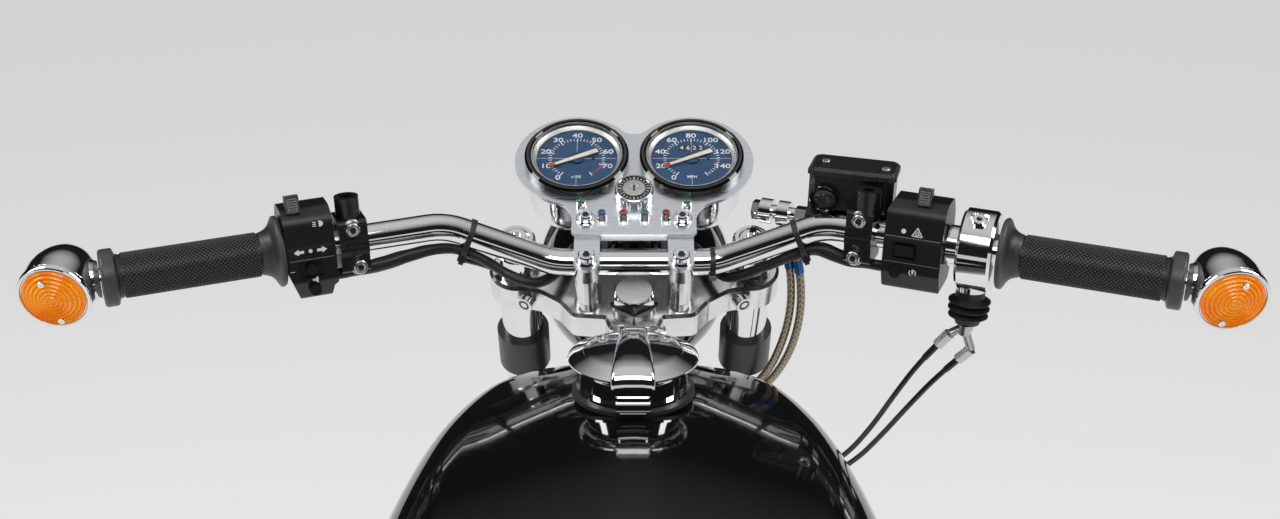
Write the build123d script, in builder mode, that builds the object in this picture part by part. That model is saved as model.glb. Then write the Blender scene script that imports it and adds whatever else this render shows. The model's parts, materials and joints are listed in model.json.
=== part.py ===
from build123d import *
from math import cos, pi, radians, sin, sqrt
import os

# Front section of a classic motorcycle, in millimetres: handlebar and controls, instruments, yokes,
# fork tubes, headlamp, steering head with its backbone tube, and the fuel tank with its flip-up cap.
# +Y is forward, +X the rider's right, +Z up. The origin is the centre of the backbone's rear end.

# Driving dimensions
rake = 26.0                 # steering axis, from the vertical
steer_y = 600.0             # where the steering axis meets the top yoke's upper face
steer_z = 100.0
backbone_od = 48.0
backbone_id = 42.0
head_od = 54.0
head_id = 42.0
head_top = -31.0            # heights measured along the steering axis from the yoke's upper face
head_length = 158.0
stem_d = 28.0
race_gap = 0.3              # running gap between the stem and its bearing races
race_depth = 14.0
yoke_thick = 25.0
lower_yoke_gap = 7.0
lower_yoke_thick = 30.0
fork_spacing = 195.0
fork_offset = 40.0          # fork axis ahead of the steering axis
fork_d = 35.0
fork_wall = 3.0
fork_bottom = -335.0
fork_seat = 0.05            # clamps hold the fork tubes with this much room
clamp_wall = 7.0
cap_height = 38.0
cap_d = 32.0
downtube_d = 28.0
downtube_wall = 2.5
downtube_end = Vector(62, 632, -205)

bar_d = 22.0
bar_wall = 2.5
bar_ahead = 13.0            # bar axis at the clamps, on the yoke plane
bar_up = 35.0
riser_spacing = 76.0
riser_width = 20.4
riser_bolt_back = 15.0      # clamp bolts stand this far behind and ahead of the bar's axis
riser_pad_h = 8.0           # pads cast on the yoke under the risers
riser_split = 0.4
cap_wall = 2.8              # cap above the bar
bar_knee = (66.0, 0.0, 0.0)         # bends of the bar, from its middle: out, ahead, up
bar_elbow = (152.0, -7.0, 34.0)
bar_end = (397.0, -103.0, 24.6)
bar_seat = 0.05             # room between the bar and what is clamped on it

gauge_tilt = 28.0
gauge_centre = Vector(0, 69, 108.3)   # from the steering reference point
gauge_spacing = 97.0
gauge_r = 44.0
gauge_window_r = 38.5
plate_top = -8.0
plate_thick = 3.0
plate_lip = 7.8             # folded lip at the plate's rear edge
plate_margin = 8.5
cup_r = 42.0
cup_depth = 52.0
lock_r = 16.0
lock_ahead = -44.0
lock_high = 11.0
lock_edge = 1.2
lamp_r = 85.0
lamp_centre = Vector(0, 149, -33)     # from the steering reference point

grip_r = 17.0
reservoir_wide = 63.0       # stations along the bar, outwards from the reservoir's inner end
reservoir_start = 138.0
switch_wide = 42.5
drum_wide = 10.0
ring_wide = 25.0
left_switch_start = 238.0
left_switch_wide = 35.0
grip_seat = 0.05
tank_skin_z = 92.0          # tank top at the filler
filler_y = 440.0
filler_bore_r = 28.0
filler_cup_r = 42.0
filler_rim_h = 18.0
gasket_h = 3.0
lid_r = 48.0
lid_gap = 0.3
tunnel_half = 37.0
tunnel_top = 46.0

steer_ref = Vector(0, steer_y, steer_z)
tilt_sin = sin(radians(rake))
tilt_cos = cos(radians(rake))
head_low = head_top - head_length
lower_yoke_top = head_low - lower_yoke_gap
fork_r = fork_d / 2
fork_half = fork_spacing / 2
clamp_r = fork_r + clamp_wall
bar_r = bar_d / 2
sides = ((-1, "left"), (1, "right"))


def on_yoke(x, ahead, up):
    """A point given in the steering's own directions, from the reference point on the top yoke."""
    return steer_ref + Vector(x, ahead * tilt_cos - up * tilt_sin, ahead * tilt_sin + up * tilt_cos)


def yoke_plane(up=0.0, x=0.0, ahead=0.0):
    return Plane(origin=on_yoke(x, ahead, up), x_dir=(1, 0, 0), z_dir=(0, -tilt_sin, tilt_cos))


gauge_sin = sin(radians(gauge_tilt))
gauge_cos = cos(radians(gauge_tilt))


def gauge_plane(up=0.0, x=0.0, ahead=0.0):
    """A plane along the instrument plate; up is measured from the gauges' ring faces."""
    shift = Vector(x, ahead * gauge_cos - up * gauge_sin, ahead * gauge_sin + up * gauge_cos)
    origin = steer_ref + gauge_centre + shift
    return Plane(origin=origin, x_dir=(1, 0, 0), z_dir=(0, -gauge_sin, gauge_cos))


bar_middle = on_yoke(0, bar_ahead, bar_up)


def bar_point(side, spot):
    return bar_middle + Vector(side * spot[0], spot[1], spot[2])


outer_run = Vector(*bar_end) - Vector(*bar_elbow)
outer_share = outer_run.X / outer_run.length


def leg_plane(side, first, last, out, ahead, up):
    """A plane square to one straight leg of the bar: local x ahead, local y up, normal towards +X."""
    leg = Vector(side * (last[0] - first[0]), last[1] - first[1], last[2] - first[2])
    along = leg.normalized() * side
    level = Vector(0, 0, 1).cross(along).normalized()
    rise = along.cross(level)
    share = (out - first[0]) / (last[0] - first[0])
    origin = bar_point(side, first) + leg * share + level * ahead + rise * up
    return Plane(origin=origin, x_dir=level, z_dir=along)


def bar_plane(side, out, ahead=0.0, up=0.0):
    return leg_plane(side, bar_elbow, bar_end, out, ahead, up)


def rise_plane(side, out, ahead=0.0, up=0.0):
    return leg_plane(side, bar_knee, bar_elbow, out, ahead, up)


def reach_of(out):
    """Distance along the bar's outer leg for a distance out from the middle of the motorcycle."""
    return (out - bar_elbow[0]) / outer_share


def bar_spot(side, out, ahead=0.0, up=0.0):
    return bar_plane(side, out, ahead, up).origin


def below_bar(side, out, ahead=0.0, up=0.0):
    """A plane facing down, for what hangs from the bar: local x ahead."""
    base = bar_plane(side, out, ahead, up)
    return Plane(origin=base.origin, x_dir=base.x_dir, z_dir=base.y_dir * -1)


def rider_plane(side, out, up, back):
    """A plane facing the rider, behind the bar: local x towards +X along it, local y up."""
    base = bar_plane(side, out, -back, up)
    return Plane(origin=base.origin, x_dir=base.z_dir, z_dir=base.x_dir * -1)


def rod_between(start, end, radius, bore=0.0):
    """A straight round rod or tube from one point to another."""
    start = Vector(*start)
    run = Vector(*end) - start
    with BuildPart() as rod:
        with BuildSketch(Plane(origin=start, z_dir=run.normalized())):
            Circle(radius)
            if bore > 0:
                Circle(bore, mode=Mode.SUBTRACT)
        extrude(amount=run.length)
    return rod.part


def route_radii(points, share=0.45):
    """The largest bend radius at each inner point that its two runs allow."""
    radii = []
    for before, here, after in zip(points, points[1:], points[2:]):
        run_in = Vector(*here) - Vector(*before)
        run_out = Vector(*after) - Vector(*here)
        turn = radians(run_in.get_angle(run_out))
        radii.append(share * min(run_in.length, run_out.length) / (sin(turn / 2) / cos(turn / 2)))
    return radii


def tube_along(points, radius):
    """A round cord along straight runs joined by tangent arcs."""
    spots = [Vector(*point) for point in points]
    radii = route_radii(points)
    with BuildPart() as cord:
        with BuildLine() as path:
            FilletPolyline(*spots, radius=radii)
        with BuildSketch(Plane(origin=spots[0], z_dir=(spots[1] - spots[0]).normalized())):
            Circle(radius)
        sweep(path=path.wires()[0])
    length = path.wires()[0].length
    share = cord.part.volume / (pi * radius ** 2 * length)
    print("bend radii", [round(value) for value in radii], "length", round(length), round(share, 3))
    return cord.part


def turned_on_bar(side, profile, bore):
    """A turned piece round the bar's outer run; profile holds (distance out, radius)."""
    start = bar_point(side, bar_elbow)
    run = Vector(side * outer_run.X, outer_run.Y, outer_run.Z).normalized()
    outline = [(reach_of(profile[0][0]), bore)]
    outline += [(reach_of(out), radius) for out, radius in profile]
    outline += [(reach_of(profile[-1][0]), bore)]
    with BuildPart() as turned:
        with BuildSketch(Plane(origin=start, x_dir=run, z_dir=run.cross(Vector(0, 0, 1)).normalized())):
            with BuildLine():
                Polyline(*outline, close=True)
            make_face()
        revolve(axis=Axis(start, run))
    return turned.part


def finish(piece, name):
    piece.label = name
    export_step(piece, f"parts/{name}.step")


os.makedirs("parts", exist_ok=True)

# Steering head: the tube with a bearing race at each end
with BuildPart() as steering_head:
    with BuildSketch(yoke_plane(head_low)):
        Circle(head_od / 2)
        Circle(head_id / 2, mode=Mode.SUBTRACT)
    extrude(amount=head_length)
    for low in (head_low, head_top - race_depth):
        with BuildSketch(yoke_plane(low)):
            Circle(head_id / 2)
            Circle(stem_d / 2 + race_gap, mode=Mode.SUBTRACT)
        extrude(amount=race_depth)
finish(steering_head.part, "steering_head")

# Backbone: one large tube from the mount to the steering head
head_envelope = rod_between(on_yoke(0, 0, head_low - 30), on_yoke(0, 0, head_top + 30), head_od / 2)
with BuildPart() as frame_backbone:
    with BuildSketch(Plane.XZ):
        Circle(backbone_od / 2)
    extrude(amount=-(steer_y + 60))
    add(head_envelope, mode=Mode.SUBTRACT)
    with BuildSketch(Plane.XZ):
        Circle(backbone_id / 2)
    extrude(amount=-(steer_y - 20), mode=Mode.SUBTRACT)
backbone_body = frame_backbone.part.solids().sort_by(Axis.Y)[0]
finish(backbone_body, "frame_backbone")

# Down tubes: two tubes from the rear of the steering head
with BuildPart() as down_tubes:
    for side, word in sides:
        top = on_yoke(side * 15, -6, -152)
        low = Vector(side * downtube_end.X, downtube_end.Y, downtube_end.Z)
        add(rod_between(top, low, downtube_d / 2))
    add(head_envelope, mode=Mode.SUBTRACT)
    for side, word in sides:
        top = on_yoke(side * 15, -6, -152)
        low = Vector(side * downtube_end.X, downtube_end.Y, downtube_end.Z)
        run = (low - top).normalized()
        add(rod_between(low - run * 110, low + run, downtube_d / 2 - downtube_wall), mode=Mode.SUBTRACT)
finish(down_tubes.part, "down_tubes")

down_low_right = Vector(downtube_end.X, downtube_end.Y, downtube_end.Z)

# Fuel tank: sections from the nose to the seat end, columns are y, half width, top, bottom, corner
tank_sections = (
    (534.0, 96.0, 80.0, -30.0, 24.0),
    (490.0, 135.0, 90.0, -55.0, 34.0),
    (400.0, 168.0, 95.5, -85.0, 50.0),
    (260.0, 184.0, 89.0, -90.0, 54.0),
    (120.0, 160.0, 72.0, -70.0, 40.0),
    (40.0, 112.0, 58.0, -40.0, 22.0),
)
with BuildPart() as fuel_tank:
    for y, half, top, bottom, corner in tank_sections:
        waist = bottom + 0.45 * (top - bottom)
        shoulder = top - 0.12 * half
        belly = 0.35 * (top - bottom)
        outline = (
            (-half * 0.88, bottom),
            (half * 0.88, bottom),
            (half, waist),
            (half * 0.9, shoulder),
            (0, top),
            (-half * 0.9, shoulder),
            (-half, waist),
        )
        with BuildSketch(Plane(origin=(0, y, 0), x_dir=(-1, 0, 0), z_dir=(0, 1, 0))):
            with BuildLine():
                FilletPolyline(*outline, radius=[12, 12, belly, corner, half, corner, belly], close=True)
            make_face()
    loft()
    with BuildSketch(Plane.XZ):
        with Locations((0, (tunnel_top - 150) / 2)):
            Rectangle(2 * tunnel_half, tunnel_top + 150)
    extrude(amount=-(steer_y + 60), mode=Mode.SUBTRACT)
    with BuildSketch(Plane.XY.offset(tank_skin_z - 34)):
        with Locations((0, filler_y)):
            Circle(filler_bore_r)
    extrude(amount=100, mode=Mode.SUBTRACT)
finish(fuel_tank.part, "fuel_tank")

# Rubber saddles between the backbone and the roof of the tank's tunnel
with BuildPart() as tank_saddles:
    for y in (120.0, 470.0):
        with BuildSketch(Plane.XY.offset(backbone_od / 2 - 12)):
            with Locations((0, y)):
                Rectangle(40, 60)
        extrude(amount=tunnel_top - backbone_od / 2 + 12)
    with BuildSketch(Plane.XZ):
        Circle(backbone_od / 2)
    extrude(amount=-steer_y, mode=Mode.SUBTRACT)
finish(tank_saddles.part, "tank_saddles")

# Filler: gasket, chrome cup with hinge ears, and the domed lid that flips forward
with BuildPart() as filler_gasket:
    with BuildSketch(Plane.XY.offset(tank_skin_z + 1.5)):
        with Locations((0, filler_y)):
            Circle(filler_cup_r + 3)
            Circle(filler_bore_r + 1, mode=Mode.SUBTRACT)
    extrude(amount=gasket_h)
    add(fuel_tank.part, mode=Mode.SUBTRACT)
finish(filler_gasket.part, "filler_gasket")

cup_low = tank_skin_z + 1.5 + gasket_h
cup_top = cup_low + filler_rim_h
hinge_y = filler_y + lid_r + 5.5
hinge_z = cup_top + 2
lid_low = cup_top + lid_gap
latch_top = lid_low - 5.6
latch_rear = filler_y - lid_r - 4.5
latch_front = filler_y - filler_cup_r + 3
latch_half = 12.0
with BuildPart() as filler_cup:
    with BuildSketch(Plane.XY.offset(cup_low)):
        with Locations((0, filler_y)):
            Circle(filler_cup_r)
    extrude(amount=4)
    with BuildSketch(Plane.XY.offset(cup_low + 4)):
        with Locations((0, filler_y)):
            Circle(filler_cup_r - 3)
    extrude(amount=filler_rim_h - 4)
    with BuildSketch(Plane.XY.offset(cup_low)):
        with Locations((0, filler_y)):
            Circle(filler_bore_r + 1)
    extrude(amount=filler_rim_h, mode=Mode.SUBTRACT)
    for side, word in sides:
        with BuildSketch(Plane.YZ.offset(side * 10 - 2.5)):
            with BuildLine():
                Polyline(
                    (filler_y + filler_cup_r - 6, cup_low),
                    (hinge_y + 3, cup_low + 3),
                    (hinge_y + 4, hinge_z),
                    (hinge_y - 4, hinge_z),
                    (filler_y + filler_cup_r - 6, cup_top - 8),
                    close=True,
                )
            make_face()
            with Locations((hinge_y, hinge_z)):
                Circle(4.5)
        extrude(amount=5)
    with BuildSketch(Plane.YZ.offset(-12)):
        with Locations((hinge_y, hinge_z)):
            Circle(2)
    extrude(amount=24)
    # spring latch at the rear, under the lid's rib
    with BuildSketch(Plane.YZ):
        with BuildLine():
            FilletPolyline((latch_front, latch_top), (latch_rear, latch_top), (latch_rear, cup_low + 4),
                           (latch_front, cup_low), close=True, radius=[1, 3, 3, 1])
        make_face()
    extrude(amount=latch_half, both=True)
finish(filler_cup.part, "filler_cup")
# Raised rib across the lid, wider at the rear where it wraps down over the rim as a latch
with BuildPart() as lid_rib:
    with BuildSketch(Plane.YZ):
        with BuildLine():
            Polyline((filler_y + lid_r - 4, lid_low + 1), (filler_y + lid_r - 3, lid_low + 9),
                     (filler_y + 8, lid_low + 20.5), (filler_y - 12, lid_low + 20.5),
                     (filler_y - lid_r + 6, lid_low + 17), (filler_y - lid_r - 2, lid_low + 12),
                     (filler_y - lid_r - 5.5, lid_low + 3), (filler_y - lid_r - 5.5, lid_low - 5),
                     (filler_y - lid_r - 1, lid_low - 5), (filler_y - lid_r + 1, lid_low + 1), close=True)
        make_face()
    extrude(amount=24, both=True)
    with BuildSketch(Plane.XY.offset(lid_low - 10)):
        with BuildLine():
            Polyline((-11, filler_y + lid_r), (11, filler_y + lid_r), (15.5, filler_y - lid_r - 8),
                     (-15.5, filler_y - lid_r - 8), close=True)
        make_face()
    extrude(amount=50, mode=Mode.INTERSECT)
with BuildPart() as filler_lid:
    with BuildSketch(Plane.YZ):
        with BuildLine():
            Polyline((filler_y, lid_low), (filler_y - lid_r + 2, lid_low), (filler_y - lid_r, lid_low + 3),
                     (filler_y - lid_r, lid_low + 7))
            ThreePointArc((filler_y - lid_r, lid_low + 7), (filler_y - lid_r * 0.55, lid_low + 15.5),
                          (filler_y, lid_low + 18.5))
            Line((filler_y, lid_low + 18.5), (filler_y, lid_low))
        make_face()
    revolve(axis=Axis((0, filler_y, 0), (0, 0, 1)))
    add(lid_rib.part)
    with BuildSketch(Plane.YZ.offset(-7)):
        with BuildLine():
            Polyline((filler_y + lid_r - 8, lid_low), (hinge_y + 3, lid_low + 0.5), (hinge_y + 4, hinge_z),
                     (hinge_y, hinge_z + 4.5), (filler_y + lid_r - 8, lid_low + 8), close=True)
        make_face()
        with Locations((hinge_y, hinge_z)):
            Circle(4.5)
        with Locations((hinge_y, hinge_z)):
            Circle(2.3, mode=Mode.SUBTRACT)
    extrude(amount=14)
finish(filler_lid.part, "filler_lid")

# Steering stem with its lower bearing seat, pressed in the lower yoke
stem_top = 8.0
with BuildPart() as steering_stem:
    with BuildSketch(yoke_plane(lower_yoke_top - lower_yoke_thick)):
        Circle(stem_d / 2)
    extrude(amount=stem_top - lower_yoke_top + lower_yoke_thick)
finish(steering_stem.part, "steering_stem")

# Top yoke: arms from the stem boss to a split clamp round each fork tube, pads under the risers
arm_line = ((0, -28), (20, -28), (24, -16), (50, -14), (62, 2), (80, 14), (104, 17), (97, 62), (60, 50),
            (30, 40), (0, 38))
arm_rounds = ((20, 4), (24, 3), (50, 9), (62, 14), (80, 20), (30, 20))  # how far across, then its radius
arm_edge = 2.5
pinch_up = -13.0
pinch_r = 7.2
pinch_rear = (92.0, 9.0)            # pinch bolt axis: rear end and inner end, across and ahead
pinch_inner = (80.0, 33.0)
stem_pinch = (20.0, -21.0, -16.0)   # stem pinch bolt's head: across, ahead, up
with BuildPart() as top_yoke:
    with BuildSketch(yoke_plane(-yoke_thick)) as arms:
        with BuildLine():
            Polyline(*arm_line, close=True)
        make_face()
        mirror(about=Plane.YZ)
        for across, radius in arm_rounds:
            fillet([spot for spot in arms.vertices() if abs(abs(spot.X) - across) < 0.1], radius=radius)
        for side, word in sides:
            with Locations((side * fork_half, fork_offset)):
                Circle(clamp_r)
    extrude(amount=yoke_thick)
    top_rim = faces().filter_by(yoke_plane()).sort_by(lambda face: face.area)[-1]
    chamfer(top_rim.outer_wire().edges(), length=arm_edge)
    for side, word in sides:
        with BuildSketch(yoke_plane(0, side * riser_spacing / 2, bar_ahead)):
            SlotOverall(riser_width + 2 * riser_bolt_back - 2, riser_width + 2, rotation=90)
        extrude(amount=riser_pad_h, taper=6)
        rear = on_yoke(side * pinch_rear[0], pinch_rear[1], pinch_up)
        inner = on_yoke(side * pinch_inner[0], pinch_inner[1], pinch_up)
        add(rod_between(rear, inner, pinch_r))
    add(rod_between(on_yoke(0, stem_pinch[1], stem_pinch[2]), on_yoke(*stem_pinch), 6.5))
    add(rod_between(on_yoke(*stem_pinch), on_yoke(stem_pinch[0] + 6, *stem_pinch[1:]), 5.5))
    with BuildSketch(yoke_plane(-yoke_thick)):
        Circle(stem_d / 2 + fork_seat)
        for side, word in sides:
            with Locations((side * fork_half, fork_offset)):
                Circle(fork_r + fork_seat)
    extrude(amount=yoke_thick, mode=Mode.SUBTRACT)
    for side, word in sides:
        rear = on_yoke(side * pinch_rear[0], pinch_rear[1], pinch_up)
        inner = on_yoke(side * pinch_inner[0], pinch_inner[1], pinch_up)
        run = (inner - rear).normalized()
        add(rod_between(rear - run, rear + run * 4, pinch_r - 2.2, 2.8), mode=Mode.SUBTRACT)
    # slit at the rear of the stem boss
    with BuildSketch(yoke_plane(-yoke_thick)):
        with Locations((0, -24)):
            Rectangle(2, 22)
    extrude(amount=yoke_thick, mode=Mode.SUBTRACT)
finish(top_yoke.part, "top_yoke")

# Lower yoke: a plain thick plate on the same centres
with BuildPart() as lower_yoke:
    with BuildSketch(yoke_plane(lower_yoke_top - lower_yoke_thick)):
        with BuildLine():
            Polyline((0, 0), (22, 6), (97, 16), (97, 64), (0, 60), close=True)
        make_face()
        Circle(stem_d / 2 + 10)
        with Locations((fork_half, fork_offset)):
            Circle(clamp_r + 1)
        mirror(about=Plane.YZ)
    extrude(amount=lower_yoke_thick)
    with BuildSketch(yoke_plane(lower_yoke_top - lower_yoke_thick)):
        Circle(stem_d / 2)
        for side, word in sides:
            with Locations((side * fork_half, fork_offset)):
                Circle(fork_r + fork_seat)
    extrude(amount=lower_yoke_thick, mode=Mode.SUBTRACT)
finish(lower_yoke.part, "lower_yoke")

# Stem nut: hexagon under a bare round disc
with BuildPart() as stem_nut:
    with BuildSketch(yoke_plane()):
        Circle(20)
        Circle(stem_d / 2 + fork_seat, mode=Mode.SUBTRACT)
    extrude(amount=4)
    with BuildSketch(yoke_plane(4)):
        RegularPolygon(19, 6, rotation=30)
    extrude(amount=9, taper=3)
    with BuildSketch(yoke_plane(stem_top)):
        Circle(stem_d / 2 + fork_seat)
    extrude(amount=-8, mode=Mode.SUBTRACT)
    with BuildSketch(yoke_plane(13)):
        Circle(15.5)
    extrude(amount=2)
finish(stem_nut.part, "stem_nut")

# Fork tubes, open at the top for their caps and closed by the damper foot near the lower end
tube_top = 3.0
cap_spigot = 14.0
foot_recess = 5.0
slider_seat = 72.0          # ground end of the tube, above which a bush ring sits in a groove
groove_width = 2.0
groove_depth = 0.6
with BuildPart() as fork_tubes:
    for side, word in sides:
        with BuildSketch(yoke_plane(fork_bottom, side * fork_half, fork_offset)):
            Circle(fork_r)
        extrude(amount=tube_top - fork_bottom)
        with BuildSketch(yoke_plane(fork_bottom, side * fork_half, fork_offset)):
            Circle(fork_r - fork_wall)
        extrude(amount=foot_recess, mode=Mode.SUBTRACT)
        with BuildSketch(yoke_plane(tube_top, side * fork_half, fork_offset)):
            Circle(fork_r - fork_wall)
        extrude(amount=-cap_spigot, mode=Mode.SUBTRACT)
        with BuildSketch(yoke_plane(fork_bottom + slider_seat, side * fork_half, fork_offset)):
            Circle(fork_r)
            Circle(fork_r - groove_depth, mode=Mode.SUBTRACT)
        extrude(amount=groove_width, mode=Mode.SUBTRACT)
finish(fork_tubes.part, "fork_tubes")

# columns are radius and height above the yoke: collar, waist, shoulder and the stepped top
cap_r = cap_d / 2
cap_profile = ((cap_r, tube_top), (cap_r, 20), (cap_r - 1.2, 21), (cap_r - 1.2, 24), (cap_r, 25),
               (cap_r, cap_height - 4), (cap_r - 2, cap_height - 1.5), (11, cap_height - 1.5),
               (10, cap_height - 3), (8.5, cap_height - 3), (8, cap_height), (0, cap_height))
cap_socket = 5.0
with BuildPart() as fork_caps:
    for side, word in sides:
        with BuildSketch(Plane(origin=on_yoke(side * fork_half, fork_offset, 0), x_dir=(1, 0, 0),
                               z_dir=(0, -tilt_cos, -tilt_sin))):
            with BuildLine():
                Polyline((0, tube_top), *cap_profile, close=True)
            make_face()
        revolve(axis=Axis(on_yoke(side * fork_half, fork_offset, 0), (0, -tilt_sin, tilt_cos)))
        with BuildSketch(yoke_plane(tube_top - cap_spigot, side * fork_half, fork_offset)):
            Circle(fork_r - fork_wall)
        extrude(amount=cap_spigot)
        with BuildSketch(yoke_plane(cap_height, side * fork_half, fork_offset)):
            RegularPolygon(cap_socket, 6)
        extrude(amount=-8, mode=Mode.SUBTRACT)
finish(fork_caps.part, "fork_caps")

# Handlebar: straight middle, a rise on each side, then the swept ends
with BuildPart() as handlebar:
    with BuildLine() as bar_path:
        FilletPolyline(
            bar_point(-1, bar_end), bar_point(-1, bar_elbow), bar_point(-1, bar_knee),
            bar_point(1, bar_knee), bar_point(1, bar_elbow), bar_point(1, bar_end),
            radius=[55, 60, 60, 55],
        )
    start = bar_point(-1, bar_end)
    with BuildSketch(Plane(origin=start, z_dir=(bar_point(-1, bar_elbow) - start).normalized())):
        Circle(bar_r)
        Circle(bar_r - bar_wall, mode=Mode.SUBTRACT)
    sweep(path=bar_path.wires()[0])
finish(handlebar.part, "handlebar")

# Risers on the yoke's pads and the caps that clamp the bar; bolts stand behind and ahead of the bar
riser_length = riser_width + 2 * riser_bolt_back
bar_cap_top = bar_up + bar_r + cap_wall
with BuildPart() as bar_risers:
    for side, word in sides:
        with BuildSketch(yoke_plane(riser_pad_h, side * riser_spacing / 2, bar_ahead)):
            SlotOverall(riser_length - 4, riser_width, rotation=90)
        extrude(amount=bar_up - riser_split - riser_pad_h)
    add(rod_between(bar_middle - Vector(80, 0, 0), bar_middle + Vector(80, 0, 0), bar_r + bar_seat),
        mode=Mode.SUBTRACT)
finish(bar_risers.part, "bar_risers")

with BuildPart() as bar_caps:
    for side, word in sides:
        with BuildSketch(yoke_plane(bar_up + riser_split, side * riser_spacing / 2, bar_ahead)):
            SlotOverall(riser_length, riser_width, rotation=90)
        extrude(amount=bar_cap_top - bar_up - riser_split, taper=8)
    add(rod_between(bar_middle - Vector(80, 0, 0), bar_middle + Vector(80, 0, 0), bar_r + bar_seat),
        mode=Mode.SUBTRACT)
finish(bar_caps.part, "bar_caps")

# Instrument bracket: a strip from each cap's rear bolt up under the plate
strip_top = plate_top - plate_thick
strip_thick = 3.0
strip_width = 21.0
strip_front = -62.0
strip_bolt_ahead = -112.0
with BuildPart() as instrument_bracket:
    for side, word in sides:
        with BuildSketch(gauge_plane(strip_top, side * riser_spacing / 2)):
            with Locations((0, (strip_front + strip_bolt_ahead) / 2)):
                Rectangle(strip_width, strip_front - strip_bolt_ahead)
            with Locations((0, strip_bolt_ahead)):
                Circle(strip_width / 2)
        extrude(amount=-strip_thick)
        with BuildSketch(gauge_plane(strip_top, side * riser_spacing / 2, strip_bolt_ahead)):
            Circle(6.5)
        extrude(amount=8)
        with BuildSketch(gauge_plane(strip_top + 8, side * riser_spacing / 2, strip_bolt_ahead)):
            RegularPolygon(3.4, 6)
        extrude(amount=-4, mode=Mode.SUBTRACT)
finish(instrument_bracket.part, "instrument_bracket")

# Instrument plate: two round wings joined by a panel with a folded lower edge
gauge_half = gauge_spacing / 2
panel_half = 51.0
panel_rear = -86.0
wing_r = gauge_r + plate_margin
# inside corners of the outline, then its rear corners, columns are lowest and highest ahead, radius
plate_rounds = ((0, wing_r, 14), (panel_rear / 1.2, -wing_r / 1.5, 20),
                (panel_rear - 1, panel_rear / 1.2, 4))
with BuildPart() as instrument_plate:
    with BuildSketch(gauge_plane(plate_top)) as plate_outline:
        for side, word in sides:
            with Locations((side * gauge_half, 0)):
                Circle(wing_r)
        with Locations((0, panel_rear / 2)):
            Rectangle(2 * panel_half, -panel_rear)
        for lowest, highest, radius in plate_rounds:
            spots = [spot for spot in plate_outline.vertices() if lowest < spot.Y < highest]
            fillet(spots, radius=radius)
    extrude(amount=-plate_thick)
    with BuildSketch(gauge_plane(plate_top)):
        for side, word in sides:
            with Locations((side * gauge_half, 0)):
                Circle(cup_r + 0.05)
        with Locations((0, lock_ahead)):
            Circle(lock_r - 2)
    extrude(amount=-plate_thick, mode=Mode.SUBTRACT)
    strip_inner = riser_spacing / 2 - strip_width / 2 - 0.3
    with BuildSketch(gauge_plane(plate_top)):
        with Locations((0, panel_rear + plate_thick / 2)):
            Rectangle(2 * strip_inner, plate_thick)
    extrude(amount=-plate_lip)
finish(instrument_plate.part, "instrument_plate")

# Instrument cups, black rings, dials and glasses, one of each for the two gauges
with BuildPart() as instrument_cups:
    for side, word in sides:
        with BuildSketch(gauge_plane(plate_top, side * gauge_half)):
            Circle(cup_r)
        extrude(amount=-cup_depth)
    cup_floor = faces().filter_by(gauge_plane()).sort_by(Axis((0, 0, 0), (0, -gauge_sin, gauge_cos)))[:2]
    fillet(cup_floor.edges(), radius=14)
finish(instrument_cups.part, "instrument_cups")

with BuildPart() as gauge_rings:
    for side, word in sides:
        with BuildSketch(gauge_plane(plate_top, side * gauge_half)):
            Circle(gauge_r)
            Circle(gauge_window_r, mode=Mode.SUBTRACT)
        extrude(amount=-plate_top)
    ring_tops = faces().filter_by(gauge_plane()).sort_by(Axis((0, 0, 0), (0, -gauge_sin, gauge_cos)))[-2:]
    chamfer(ring_tops.edges(), length=1.8)
finish(gauge_rings.part, "gauge_rings")

with BuildPart() as gauge_dials:
    for side, word in sides:
        with BuildSketch(gauge_plane(plate_top, side * gauge_half)):
            Circle(gauge_window_r - 0.1)
        extrude(amount=1.5)
finish(gauge_dials.part, "gauge_dials")

with BuildPart() as gauge_lenses:
    for side, word in sides:
        with BuildSketch(gauge_plane(-4, side * gauge_half)):
            Circle(gauge_window_r - 0.1)
        extrude(amount=1.5)
finish(gauge_lenses.part, "gauge_lenses")

# Ignition lock through the plate, with its key slot
with BuildPart() as ignition_lock:
    with BuildSketch(gauge_plane(plate_top, 0, lock_ahead)):
        Circle(lock_r)
    extrude(amount=lock_high - lock_edge)
    with BuildSketch(gauge_plane(plate_top + lock_high - lock_edge, 0, lock_ahead)):
        Circle(lock_r)
    extrude(amount=lock_edge, taper=45)
    with BuildSketch(gauge_plane(plate_top, 0, lock_ahead)):
        Circle(lock_r - 2.1)
    extrude(amount=-34)
    with BuildSketch(gauge_plane(plate_top + lock_high, 0, lock_ahead)):
        SlotOverall(9, 2.6, rotation=90)
    extrude(amount=-6, mode=Mode.SUBTRACT)
    with BuildSketch(gauge_plane(plate_top + lock_high, 0, lock_ahead)):
        Circle(12.2)
        Circle(11.2, mode=Mode.SUBTRACT)
    extrude(amount=-1, mode=Mode.SUBTRACT)
finish(ignition_lock.part, "ignition_lock")

# Warning lights: chrome bezels, columns are across and ahead on the plate
light_spots = ((-43.5, -54), (-26.2, -67.5), (-8.7, -67.5), (8.7, -67.5), (26.2, -67.5), (43.5, -54))
with BuildPart() as warning_lights:
    for x, ahead in light_spots:
        with BuildSketch(gauge_plane(plate_top, x, ahead)):
            Circle(4.5)
        extrude(amount=6, taper=8)
finish(warning_lights.part, "warning_lights")

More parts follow.
